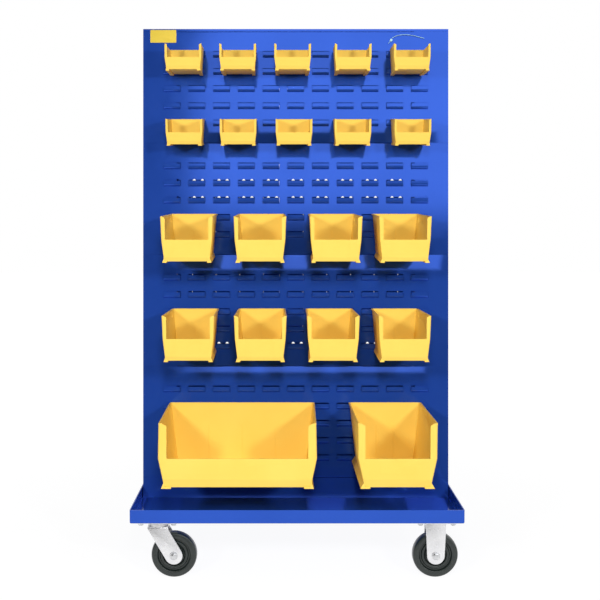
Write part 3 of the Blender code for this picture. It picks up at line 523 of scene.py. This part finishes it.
def bin_shell(size):
    """The moulded shell: drawn-in base, level lip, and front columns turned inwards."""
    knee, skirt, floor = bin_levels(size)
    rim_half, knee_half, base, back_half, back_base = bin_halves(size)
    front = -size["length"]
    sill = front + size["skirt"] * SILL_SHARE
    column = rim_half - size["column"]
    step = size["column"] * COLUMN_STEP
    across = Vector((base - knee_half, sill - front, floor - knee))
    normal = across.cross(Vector((back_base - knee_half, -front, floor - knee)))
    skirt_half = knee_half - normal.z * (skirt - knee) / normal.x
    bm = bmesh.new()
    face(bm, [(back_half, 0.0, 0.0), (-back_half, 0.0, 0.0), (-back_base, 0.0, floor),
              (back_base, 0.0, floor)])
    face(bm, [(-back_base, 0.0, floor), (-base, sill, floor), (base, sill, floor),
              (back_base, 0.0, floor)])
    face(bm, [(-skirt_half, front, skirt), (skirt_half, front, skirt), (base, sill, floor),
              (-base, sill, floor)])
    face(bm, [(-skirt_half, front, skirt), (-knee_half, front, knee), (-column, front, knee),
              (column, front, knee), (knee_half, front, knee), (skirt_half, front, skirt)])
    for sign in (-1, 1):
        corner = (sign * knee_half, front, knee)
        upper = [(sign * back_half, 0.0, 0.0), corner, (sign * rim_half, front, 0.0)]
        middle = [(sign * back_half, 0.0, 0.0), (sign * back_base, 0.0, floor), corner]
        lower = [(sign * back_base, 0.0, floor), (sign * base, sill, floor),
                 (sign * skirt_half, front, skirt), corner]
        post = [(sign * rim_half, front, 0.0), corner, (sign * column, front, knee),
                (sign * column, front, -step), (sign * (rim_half - step), front, 0.0)]
        for corners in (upper, middle, lower, post):
            face(bm, corners if sign > 0 else list(reversed(corners)))
    weld(bm)
    outward(bm)
    floor_face = min(bm.faces, key=lambda f: f.calc_center_median().z)
    floor_face.normal_update()
    if floor_face.normal.z > 0.0:
        bmesh.ops.reverse_faces(bm, faces=bm.faces)

    def soften(offset, segments, test):
        edges = [e for e in bm.edges if len(e.link_faces) == 2 and test([v.co for v in e.verts])]
        bmesh.ops.bevel(bm, geom=edges, offset=offset, segments=segments, affect="EDGES",
                        profile=0.5, clamp_overlap=True)

    def is_post(ends):
        return all(abs(co.y - front) < TINY and abs(co.x) > skirt_half - TINY for co in ends)

    def is_low_or_back(ends):
        at_back = all(abs(co.y) < TINY for co in ends)
        on_floor = all(abs(co.z - floor) < TINY for co in ends)
        return (at_back or on_floor) and not all(abs(co.y - sill) < TINY for co in ends)

    soften(size["corner"], POST_STEPS, is_post)
    soften(SOFT_SHARE * size["height"] + SOFT_LEAST, SOFT_STEPS, is_low_or_back)
    weld(bm)
    return finished("bin_shell", bm, thickness=BIN_WALL, bevel=SKIN, angle_deg=30.0,
                    cutter=grip_recess(size) if size["ribs"] else None)


def grip_recess(size):
    """Blocks that cut a shallow recess into each side, below the rim."""
    _knee, _skirt, floor = bin_levels(size)
    rim_half, _knee_half, _base, back_half, back_base = bin_halves(size)
    front = -size["length"]
    recess = bmesh.new()
    high, low = [share * size["height"] for share in RECESS_LEVELS]
    for sign in (-1, 1):
        spots = []
        for y in [share * size["length"] for share in RECESS_LENGTHS]:
            at_rim = back_half + (rim_half - back_half) * y / front
            lean = (back_half - back_base) / floor * (1.0 - y / front)
            spots += [(sign * (at_rim - lean * z - BIN_WALL), y, z) for z in (high, low)]
        a, b, d, c = [Vector(spot) for spot in spots]
        quad = [point - Vector((sign * RECESS_BEHIND, 0.0, 0.0)) for point in (a, b, c, d)]
        push(recess, quad, (sign * RECESS_CUT, 0.0, 0.0))
    outward(recess)
    return recess


def loft(bm, fore, aft):
    """A solid between two outlines of as many points."""
    fore = [bm.verts.new(point) for point in fore]
    aft = [bm.verts.new(point) for point in aft]
    bm.faces.new(fore)
    bm.faces.new(aft)
    for number in range(len(fore)):
        following = (number + 1) % len(fore)
        bm.faces.new([fore[number], fore[following], aft[following], aft[number]])


def rail_points(size, sign, y, base, slope):
    """Cross-section of a base rail at one end of the bin."""
    bottom = -size["height"]
    floor = bottom + BIN_FOOT
    rail_top = bottom + size["rail"]
    wall = base + slope * (rail_top - floor)
    outer = base + size["flare"]
    inner = outer - size["foot"]
    points = [(outer, bottom), (outer - RAIL_ROUND, bottom + RAIL_TOE),
              (wall + RAIL_ROUND, rail_top), (wall - SKIN, rail_top + SKIN),
              (base - BIN_WALL / 2, floor + BIN_WALL / 2), (inner, floor + BIN_WALL / 2),
              (inner, bottom)]
    return [(sign * x, y, z) for x, z in points]


def bin_trim(size):
    """Base rails, hanger, rim beads, ribs and label frame of a bin."""
    knee, _skirt, floor = bin_levels(size)
    rim_half, knee_half, base, back_half, back_base = bin_halves(size)
    bottom = -size["height"]
    front = -size["length"]
    bm = bmesh.new()
    bead, deep = size["bead"], BEAD_SHARE * size["height"]
    outline = ((0.0, 0.0), (0.85, -RAIL_ROUND), (1.0, -0.0012), (1.0, RAIL_ROUND - deep),
               (0.6, -deep), (0.0, -deep))
    for sign in (-1, 1):
        loft(bm, rail_points(size, sign, RAIL_START + front, base,
                             (knee_half - base) / (knee - floor)),
             rail_points(size, sign, RAIL_END, back_base, (back_base - back_half) / floor))
        loft(bm, [(sign * (rim_half - SKIN + SKIN * share), front + BEAD_START, z)
                  for share, z in outline],
             [(sign * (back_half - SKIN + (bead + SKIN) * share), BEAD_END, z)
              for share, z in outline])
    add_hanger(bm, size)
    block(bm, (-back_half, -SKIN, -0.0030), (back_half, 0.0010, -0.0002))
    for k in range(size["ribs"]):
        x = (k - (size["ribs"] - 1) / 2) * size["width"] * RIB_PITCH
        block(bm, (x - RIB_HALF, -BIN_WALL - SKIN, floor + BIN_WALL),
              (x + RIB_HALF, -BIN_WALL / 2, bottom + size["height"] * RIB_TOP))
    if size["label"]:
        span = size["label"] / 2
        high = knee - LABEL_BELOW_LIP
        deep = high - (knee - bottom - size["skirt"]) * LABEL_SHARE
        for a, b in (((-span, deep), (span, deep + LABEL_RIM)),
                     ((-span, deep), (-span + LABEL_RIM, high)),
                     ((span - LABEL_RIM, deep), (span, high))):
            block(bm, (a[0], front - LABEL_PROUD, a[1]), (b[0], front + LABEL_ROOT, b[1]))
    outward(bm)
    return finished("bin_trim", bm, bevel=0.0003, segments=1, angle_deg=35.0)


def add_hanger(bm, size):
    """The hook behind the rim that goes over a louver, and the gussets under it."""
    top = -size["drop"]
    low = top - HANGER_SHEET
    end = low - HANGER_DEPTH
    reach = size["width"] * HANGER_SHARE
    turn = HANGER_REACH - HANGER_SHEET
    profile = [(-BIN_WALL / 2, top), (HANGER_REACH - HANGER_ROUND, top),
               (HANGER_REACH, top - HANGER_ROUND), (HANGER_REACH, end + 0.0008),
               (HANGER_REACH - 0.0006, end), (turn + 0.0004, end), (turn, end + 0.0006),
               (turn, low - 0.0008), (turn - 0.0008, low), (-BIN_WALL / 2, low)]
    push(bm, [(-reach, y, z) for y, z in profile], (2 * reach, 0.0, 0.0))
    gussets = 3 if size["width"] < WIDE_BIN else 5
    for k in range(gussets):
        x = (k / (gussets - 1) - 0.5) * GUSSET_SPREAD * reach - SKIN
        push(bm, [(x, -BIN_WALL / 2, low + 0.0002), (x, turn - GUSSET_FOOT, low),
                  (x, -BIN_WALL / 2, low - GUSSET_DEPTH)], (2 * SKIN, 0.0, 0.0))


def bin_mesh(size):
    """The shell and its trim as one mesh."""
    bm = bmesh.new()
    for mesh in (bin_shell(size), bin_trim(size)):
        bm.from_mesh(mesh)
    return finished("bin", bm)


def make_bins():
    meshes = {name: bin_mesh(size) for name, size in BIN_SIZES.items()}
    for row_number, (section, row, droop_deg, places) in enumerate(BIN_ROWS, start=1):
        for number, (size_name, share) in enumerate(places, start=1):
            depth, height, tilt = bin_seat(BIN_SIZES[size_name], section, row, droop_deg)
            node = f"bin_{size_name}_r{row_number}_{number}"
            seat = Matrix.Translation((PANEL_WIDTH * share, depth, height))
            matrix = face_matrix("front") @ seat @ Matrix.Rotation(tilt, 4, "X")
            place("moulded_" + node, meshes[size_name], YELLOW, node, matrix, [node])


# Casters

PLATE_HALF = (0.0575, 0.050)
PLATE_CORNER = 0.010
BOLT_SPOTS = [(dx, dy) for dx in (-0.0455, 0.0455) for dy in (-0.0375, 0.0375)]
FORK_BEND = 0.006
FORK_SHOULDER = 0.008
# Profiles of turned pieces: pairs of radius and height
WHEEL_SIDE = [(0.0622, 0.0130), (0.0612, 0.0150), (0.0595, 0.0160), (0.0480, 0.0163),
              (0.0462, 0.0156), (0.0452, 0.0140), (0.0448, 0.0100), (0.0436, 0.0086),
              (0.0405, 0.0086), (0.0394, 0.0100), (0.0390, 0.0125), (0.0378, 0.0136),
              (0.0330, 0.0138), (0.0316, 0.0130), (0.0308, 0.0105), (0.0290, 0.0080),
              (0.0225, 0.0072), (0.0205, 0.0086), (0.0196, 0.0160), (0.0188, 0.0180),
              (0.0175, 0.0185), (0.0088, 0.0185)]
WHEEL_TREAD = [(0.0630, 0.0105), (0.0635, 0.0070), (0.0635, -0.0070), (0.0630, -0.0105)]
BUSH = [(0.0085, 0.0184), (0.0085, -0.0184), (0.0080, -0.0185), (0.0064, -0.0185),
        (0.0060, -0.0181), (0.0060, 0.0181), (0.0064, 0.0185), (0.0080, 0.0185),
        (0.0085, 0.0184)]
SCREW_HEAD = [(0.0, 0.0066), (0.00615, 0.0066), (0.0075, 0.005412), (0.0075, 0.0008),
              (0.0, 0.0008)]
SCREW_WASHER = [(0.0, 0.0010), (0.010125, 0.0010), (0.0105, 0.0006), (0.0105, 0.0), (0.0, 0.0)]
DOMED_HEAD = [(0.0, 0.0042), (0.0040, 0.0038), (0.0072, 0.0026), (0.0092, 0.0008),
              (0.0096, 0.0), (0.0, 0.0)]


def make_plate(name, x, y):
    """A caster's top plate, with its rounded corners."""
    bm = bmesh.new()
    outline = rounded(*PLATE_HALF, PLATE_CORNER, 6)
    push(bm, [(x + a, y + b, CASTER_HEIGHT - GAP) for a, b in reversed(outline)],
         (0.0, 0.0, -CASTER_PLATE))
    outward(bm)
    return finished(name, bm, bevel=0.0006)


def fork_mesh(axle_x, crown_top):
    """A pressed fork: one sheet bent down on both sides of the wheel."""
    bm = bmesh.new()
    half = FORK_CROWN / 2
    bend_low = crown_top - FORK_BEND
    corner_low = crown_top - FORK_SHOULDER
    axle = Vector((axle_x, WHEEL_RADIUS))

    def touch(corner, side):
        away = corner - axle
        return math.degrees(math.atan2(away.y, away.x)
                            + side * math.acos(FORK_TIP / away.length))

    start = touch(Vector((-half, corner_low)), 1.0)
    end = touch(Vector((half, corner_low)), -1.0)
    if end < start:
        end += 360.0
    tip = arc(axle, FORK_TIP, start, end, 24)
    leg = [(half, bend_low), (-half, bend_low), (-half, corner_low)] + tip
    leg.append((half, corner_low))
    for sign in (-1, 1):
        corners = [(x, sign * FORK_HALF, z) for x, z in leg]
        face(bm, corners if sign < 0 else list(reversed(corners)))
    bend = arc((FORK_BEND - FORK_HALF, bend_low), FORK_BEND, 180, 90, 5)
    path = bend + [(-y, z) for y, z in reversed(bend)]
    for (y_a, z_a), (y_b, z_b) in zip(path, path[1:]):
        face(bm, [(-half, y_a, z_a), (half, y_a, z_a), (half, y_b, z_b), (-half, y_b, z_b)])
    weld(bm)
    outward(bm)
    crown = max(bm.faces, key=lambda f: f.calc_center_median().z)
    crown.normal_update()
    if crown.normal.z < 0.0:
        bmesh.ops.reverse_faces(bm, faces=bm.faces)
    return finished("fork", bm, thickness=FORK_SHEET, bevel=0.0009, segments=3)


def wheel_mesh():
    """A moulded wheel: crowned tread, flat outer ring, groove, inner ring and hub."""
    profile = WHEEL_SIDE[::-1] + WHEEL_TREAD + [(r, -h) for r, h in WHEEL_SIDE]
    return turned("wheel", profile + [profile[0]], 96)


def turned(name, profile, facets=48):
    bm = bmesh.new()
    lathe(bm, profile, facets)
    weld(bm)
    outward(bm)
    return finished(name, bm)


def axle_bolt_mesh():
    """Bolt head, washer and shank, the washer at the far side, and the nut."""
    seat = FORK_HALF + GAP
    bm = bmesh.new()
    lathe(bm, [(0.0, seat + 0.0049), (0.0068, seat + 0.0049), (0.0085, seat + 0.0040),
               (0.0085, seat + 0.0010), (0.0, seat + 0.0010)], 6)
    lathe(bm, [(0.0, seat + 0.0012), (0.0112, seat + 0.0012), (0.0116, seat + 0.0008),
               (0.0116, seat), (0.0050, seat), (0.0050, -seat - 0.0080),
               (0.0042, -seat - 0.0090), (0.0, -seat - 0.0090)], 32)
    lathe(bm, [(0.0, -seat - 0.0004), (0.0116, -seat - 0.0004), (0.0116, -seat),
               (0.0, -seat)], 32)
    lathe(bm, [(0.0, -seat - 0.0012), (0.0090, -seat - 0.0012), (0.0090, -seat - 0.0062),
               (0.0074, -seat - 0.0072), (0.0, -seat - 0.0072)], 6)
    outward(bm)
    return finished("axle_bolt", bm)


def plate_bolts_mesh(x, y, plate_low):
    """Four bolts through a plate and the tray: hexagon heads below, domed heads above."""
    bm = bmesh.new()
    for dx, dy in BOLT_SPOTS:
        below = (Matrix.Translation((x + dx, y + dy, plate_low))
                 @ Matrix.Rotation(math.pi, 4, "X"))
        lathe(bm, SCREW_HEAD, 6, below)
        lathe(bm, SCREW_WASHER, 24, below)
        lathe(bm, DOMED_HEAD, 24, Matrix.Translation((x + dx, y + dy, FLOOR_TOP)))
    outward(bm)
    return finished("plate_bolts", bm)


def make_casters():
    wheel = wheel_mesh()
    bush = turned("bush", BUSH)
    bolt = axle_bolt_mesh()
    plate_low = CASTER_HEIGHT - GAP - CASTER_PLATE
    race_low = plate_low - RACE_DEPTH
    swivel_fork = fork_mesh(SWIVEL_TRAIL, race_low - GAP)
    rigid_fork = fork_mesh(0.0, plate_low - 0.0001)
    race_profile = [
        (0.0, plate_low + 0.0004), (0.0352, plate_low + 0.0004), (0.0360, plate_low - 0.0010),
        (0.0360, plate_low - 0.0052), (0.0345, plate_low - 0.0066), (0.0322, plate_low - 0.0070),
        (0.0322, plate_low - 0.0080), (0.0310, plate_low - 0.0090), (0.0296, race_low + 0.0004),
        (0.0280, race_low), (0.0, race_low)]
    kingpin_profile = [
        (0.0, race_low - 0.0046), (0.0110, race_low - 0.0046), (0.0110, race_low - 0.0072),
        (0.0096, race_low - 0.0086), (0.0, race_low - 0.0086)]
    flat = Matrix.Rotation(math.pi / 2, 4, "X")
    for end, sign in (("left", -1), ("right", 1)):
        for row, depth in (("front", -CASTER_Y), ("rear", CASTER_Y)):
            name = end + "_" + row
            x, y = sign * KINGPIN_X, CART_Y + depth
            origin = Matrix.Translation((x, y, 0.0))
            trail = SWIVEL_TRAIL if end == "left" else 0.0
            axle = Matrix.Translation((x + trail, y, WHEEL_RADIUS)) @ flat
            place("moulded_wheel_" + name, wheel, TYRE, "wheel_" + name, axle,
                  ["wheel_" + name])
            place("sintered_bush_" + name, bush, BRONZE, "wheel_" + name, axle,
                  ["bush_" + name])
            plate = make_plate("plate_" + name, x, y)
            if end == "left":
                holder = "swivel_" + name
                place("plate_" + name, plate, ZINC, "cart", None, ["swivel_plate_" + name])
                place("race_" + name, turned("race_" + name, race_profile), GREASE, "cart",
                      origin)
                place("kingpin_" + name, turned("kingpin_" + name, kingpin_profile), BOLT,
                      "cart", origin)
                place("pressed_fork_" + name, swivel_fork, ZINC, holder, origin,
                      ["swivel_fork_" + name])
            else:
                holder = "cart"
                place("plate_" + name, plate, ZINC, "cart", None, ["rigid_fork_" + name])
                place("pressed_fork_" + name, rigid_fork, ZINC, holder, origin)
            place("hex_axle_" + name, bolt, BOLT, holder, axle, ["axle_bolt_" + name])
            place("plate_bolts_" + name, plate_bolts_mesh(x, y, plate_low), BOLT, "cart")


# Trim

BARE_PLATE_HALF = (0.0388, 0.0190)
BARE_PLATE_CORNER = 0.002
BARE_PLATE_SHEET = 0.0006
BARE_PLATE_INSET = (0.0215, 0.003)
# The tie's points across the face's width and down its slope, as shares of these
TIE_ROUTE = ((0.3035, 0.0315), (0.3090, 0.0265), (0.3135, 0.0215), (0.3215, 0.0175),
             (0.3350, 0.0140), (0.3540, 0.0125), (0.3780, 0.0135), (0.4020, 0.0170),
             (0.4205, 0.0205))
# The strap's middle in front of the face, its half width and half its thickness
TIE_OUT = 0.0017
TIE_HALF_WIDTH = 0.0022
TIE_HALF_SHEET = 0.0006
TIE_HEAD_SPOT = (0.3120, 0.0245)
TIE_HEAD_TURN = 35.0


def make_bare_plate():
    bm = bmesh.new()
    half_x, half_z = BARE_PLATE_HALF
    outline = rounded(half_x, half_z, BARE_PLATE_CORNER, 4)
    push(bm, [(a, -GAP, b) for a, b in outline], (0.0, -BARE_PLATE_SHEET, 0.0))
    outward(bm)
    centre = Matrix.Translation((-PANEL_WIDTH / 2 + BARE_PLATE_INSET[0] + half_x, 0.0,
                                 PANEL_SLOPE - BARE_PLATE_INSET[1] - half_z))
    place("bare_plate", finished("bare_plate", bm, bevel=0.00015), PLATE, "cart",
          face_matrix("front") @ centre, ["label_plate"])


def make_tie():
    """The plastic tie: a strap that stands on its edge along a curve, and its head."""
    front = face_matrix("front")
    curve = bpy.data.curves.new("tie_line", "CURVE")
    curve.dimensions = "3D"
    spline = curve.splines.new("BEZIER")
    spline.bezier_points.add(len(TIE_ROUTE) - 1)
    for point, (across, down) in zip(spline.bezier_points, TIE_ROUTE):
        point.co = (PANEL_WIDTH * across, -TIE_OUT, PANEL_SLOPE * (1.0 - down))
        point.handle_left_type = point.handle_right_type = "AUTO"
        point.tilt = math.pi / 2
    curve.resolution_u = 6
    curve.extrude = TIE_HALF_WIDTH
    curve.bevel_depth = TIE_HALF_SHEET
    curve.bevel_resolution = 2
    line = bpy.data.objects.new("tie_line", curve)
    bpy.context.scene.collection.objects.link(line)
    bpy.context.view_layer.update()
    graph = bpy.context.evaluated_depsgraph_get()
    mesh = bpy.data.meshes.new_from_object(line.evaluated_get(graph))
    bpy.data.objects.remove(line)
    place("plastic_tie_strap", mesh, TIE, "cart", front, ["plastic_tie"])
    head = bmesh.new()
    block(head, (-0.0035, -0.0052, -0.003), (0.0035, -0.0004, 0.004))
    outward(head)
    across, down = TIE_HEAD_SPOT
    spot = Matrix.Translation((PANEL_WIDTH * across, 0.0, PANEL_SLOPE * (1.0 - down)))
    place("plastic_tie_head", finished("tie_head", head, bevel=0.0010), TIE, "cart",
          front @ spot @ Matrix.Rotation(math.radians(TIE_HEAD_TURN), 4, "Y"))


def finish_frame():
    """Give the CAD nodes that stay their paint, and break their edges."""
    for name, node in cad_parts.items():
        if node.hide_render:
            continue
        node.data.materials.clear()
        node.data.materials.append(BLUE)
        edges = node.modifiers.new("Edges", "BEVEL")
        edges.width = 0.0005
        edges.segments = 2
        edges.limit_method = "ANGLE"
        edges.angle_limit = math.radians(50.0)


# Studio

# The area over the camera that the glossy paint mirrors, by direction: how high it starts, how
# far right, how soft its edges are, and how bright it is
CANOPY_LOW = 0.098
CANOPY_SIDE = 0.079
CANOPY_EDGE = (0.012, 0.01)
CANOPY = 2.1
# The room's light on everything else, and how softly front and back of the room meet
FILL = 0.17
ROOM_EDGE = 0.15
# The floor: its extent, how much of it is the glow that reads as a white backdrop, and the
# glow's strength near the cart and farther off
FLOOR_X, FLOOR_FRONT, FLOOR_BACK, FLOOR_Z = 14.0, -1.3, 16.0, -0.0004
GLOW_SHARE = 0.86
GLOW_STRENGTH = (1.09, 1.17)
GLOW_DISTANCE = (0.6, 2.6)
WHITE = (1.0, 1.0, 1.0, 1.0)
LAMPS = (("left_box", (-1.31, -3.3, 1.50), 38.0), ("middle_box", (0.0, -3.3, 1.75), 36.0),
         ("right_box", (1.33, -3.3, 1.50), 38.0))
LAMP_SIZE = 0.32
LAMP_AIM = Vector((0.0, 0.0, 0.95))
CAMERA_SPOT = (-0.047, -3.364, 1.0115)
CAMERA_PITCH = 87.0
CAMERA_LENS = 67.26
CAMERA_SHIFT = (0.0333, -0.0438)


def add_math(tree, first, operation, second):
    """A Math node's result, from values or from other nodes."""
    node = tree.nodes.new("ShaderNodeMath")
    node.operation = operation
    for socket, value in zip(node.inputs, (first, second)):
        if isinstance(value, float):
            socket.default_value = value
        else:
            tree.links.new(value, socket)
    return node.outputs[0]


def seen_rays(tree):
    """One for the rays that see the white backdrop: the camera's, and those off gloss or glass."""
    path = tree.nodes.new("ShaderNodeLightPath")
    total = path.outputs["Is Camera Ray"]
    for ray in ("Is Glossy Ray", "Is Transmission Ray"):
        total = add_math(tree, total, "MAXIMUM", path.outputs[ray])
    return total


def make_floor():
    floor_bm = bmesh.new()
    face(floor_bm, [(-FLOOR_X, FLOOR_FRONT, FLOOR_Z), (FLOOR_X, FLOOR_FRONT, FLOOR_Z),
                    (FLOOR_X, FLOOR_BACK, FLOOR_Z), (-FLOOR_X, FLOOR_BACK, FLOOR_Z)])
    floor = bpy.data.objects.new("floor", finished("floor", floor_bm))
    bpy.context.scene.collection.objects.link(floor)
    material, tree, shader = new_material("pale_floor")
    tree.links.new(add_ramp(tree, add_noise(tree, 3.0), (0.90, 0.90, 0.90), (0.93, 0.93, 0.93)),
                   shader.inputs["Base Color"])
    shader.inputs["Roughness"].default_value = 0.9
    shader.inputs["Specular IOR Level"].default_value = 0.1
    away = tree.nodes.new("ShaderNodeTexCoord")
    distance = tree.nodes.new("ShaderNodeVectorMath")
    distance.operation = "LENGTH"
    tree.links.new(away.outputs["Object"], distance.inputs[0])
    glow = tree.nodes.new("ShaderNodeEmission")
    glow.inputs["Color"].default_value = WHITE
    tree.links.new(add_range(tree, distance.outputs["Value"], *GLOW_STRENGTH, *GLOW_DISTANCE),
                   glow.inputs["Strength"])
    mix = tree.nodes.new("ShaderNodeMixShader")
    tree.links.new(add_math(tree, seen_rays(tree), "MULTIPLY", GLOW_SHARE), mix.inputs["Fac"])
    tree.links.new(shader.outputs["BSDF"], mix.inputs[1])
    tree.links.new(glow.outputs["Emission"], mix.inputs[2])
    tree.links.new(mix.outputs["Shader"], tree.nodes["Material Output"].inputs["Surface"])
    floor.data.materials.append(material)


def make_room():
    """The world: white to camera and glass, a canopy and a pale back to gloss, else a fill."""
    world = bpy.data.worlds.new("studio")
    bpy.context.scene.world = world
    world.use_nodes = True
    tree = world.node_tree
    path = tree.nodes.new("ShaderNodeLightPath")
    where = tree.nodes.new("ShaderNodeTexCoord")
    split = tree.nodes.new("ShaderNodeSeparateXYZ")
    tree.links.new(where.outputs["Generated"], split.inputs["Vector"])
    x, y, z = [split.outputs[axis] for axis in "XYZ"]
    glossy = path.outputs["Is Glossy Ray"]

    back = add_range(tree, y, 0.0, 1.0, -ROOM_EDGE, ROOM_EDGE)
    front = add_range(tree, y, 0.0, 1.0, ROOM_EDGE, -ROOM_EDGE)
    above = add_range(tree, z, 0.0, 1.0, CANOPY_LOW, CANOPY_LOW + CANOPY_EDGE[0])
    side = add_math(tree, x, "SUBTRACT", add_math(tree, y, "MULTIPLY", CANOPY_SIDE))
    beside = add_range(tree, side, 0.0, 1.0, -CANOPY_EDGE[1], CANOPY_EDGE[1])
    box = add_math(tree, above, "MULTIPLY", beside)
    canopy = add_math(tree, add_math(tree, box, "MULTIPLY", front), "MULTIPLY", CANOPY)
    gloss = add_math(tree, glossy, "MULTIPLY", add_math(tree, back, "ADD", canopy))
    plain = add_math(tree, path.outputs["Is Camera Ray"], "MAXIMUM",
                     path.outputs["Is Transmission Ray"])
    fill = add_math(tree, add_math(tree, 1.0, "SUBTRACT", glossy), "MULTIPLY", FILL)
    level = add_math(tree, add_math(tree, gloss, "MAXIMUM", plain), "MAXIMUM", fill)
    background = tree.nodes["Background"]
    background.inputs["Color"].default_value = WHITE
    tree.links.new(level, background.inputs["Strength"])


def make_lamps():
    """Three round lamps in front, which the glossy paint doesn't mirror."""
    for name, where, power in LAMPS:
        data = bpy.data.lights.new(name, "AREA")
        data.shape = "DISK"
        data.size = LAMP_SIZE
        data.energy = power
        lamp = bpy.data.objects.new(name, data)
        bpy.context.scene.collection.objects.link(lamp)
        lamp.visible_glossy = False
        lamp.location = where
        lamp.rotation_euler = (LAMP_AIM - Vector(where)).to_track_quat("-Z", "Y").to_euler()


def make_camera():
    data = bpy.data.cameras.new("camera")
    camera = bpy.data.objects.new("camera", data)
    bpy.context.scene.collection.objects.link(camera)
    data.sensor_width = 36.0
    data.lens = CAMERA_LENS
    data.shift_x, data.shift_y = CAMERA_SHIFT
    data.clip_end = 100.0
    camera.location = CAMERA_SPOT
    camera.rotation_euler = (math.radians(CAMERA_PITCH), 0.0, 0.0)
    bpy.context.scene.camera = camera


make_sheets()
make_bins()
make_casters()
make_bare_plate()
make_tie()
finish_frame()
make_floor()
make_room()
make_lamps()
make_camera()
bpy.context.scene.view_settings.view_transform = "Standard"
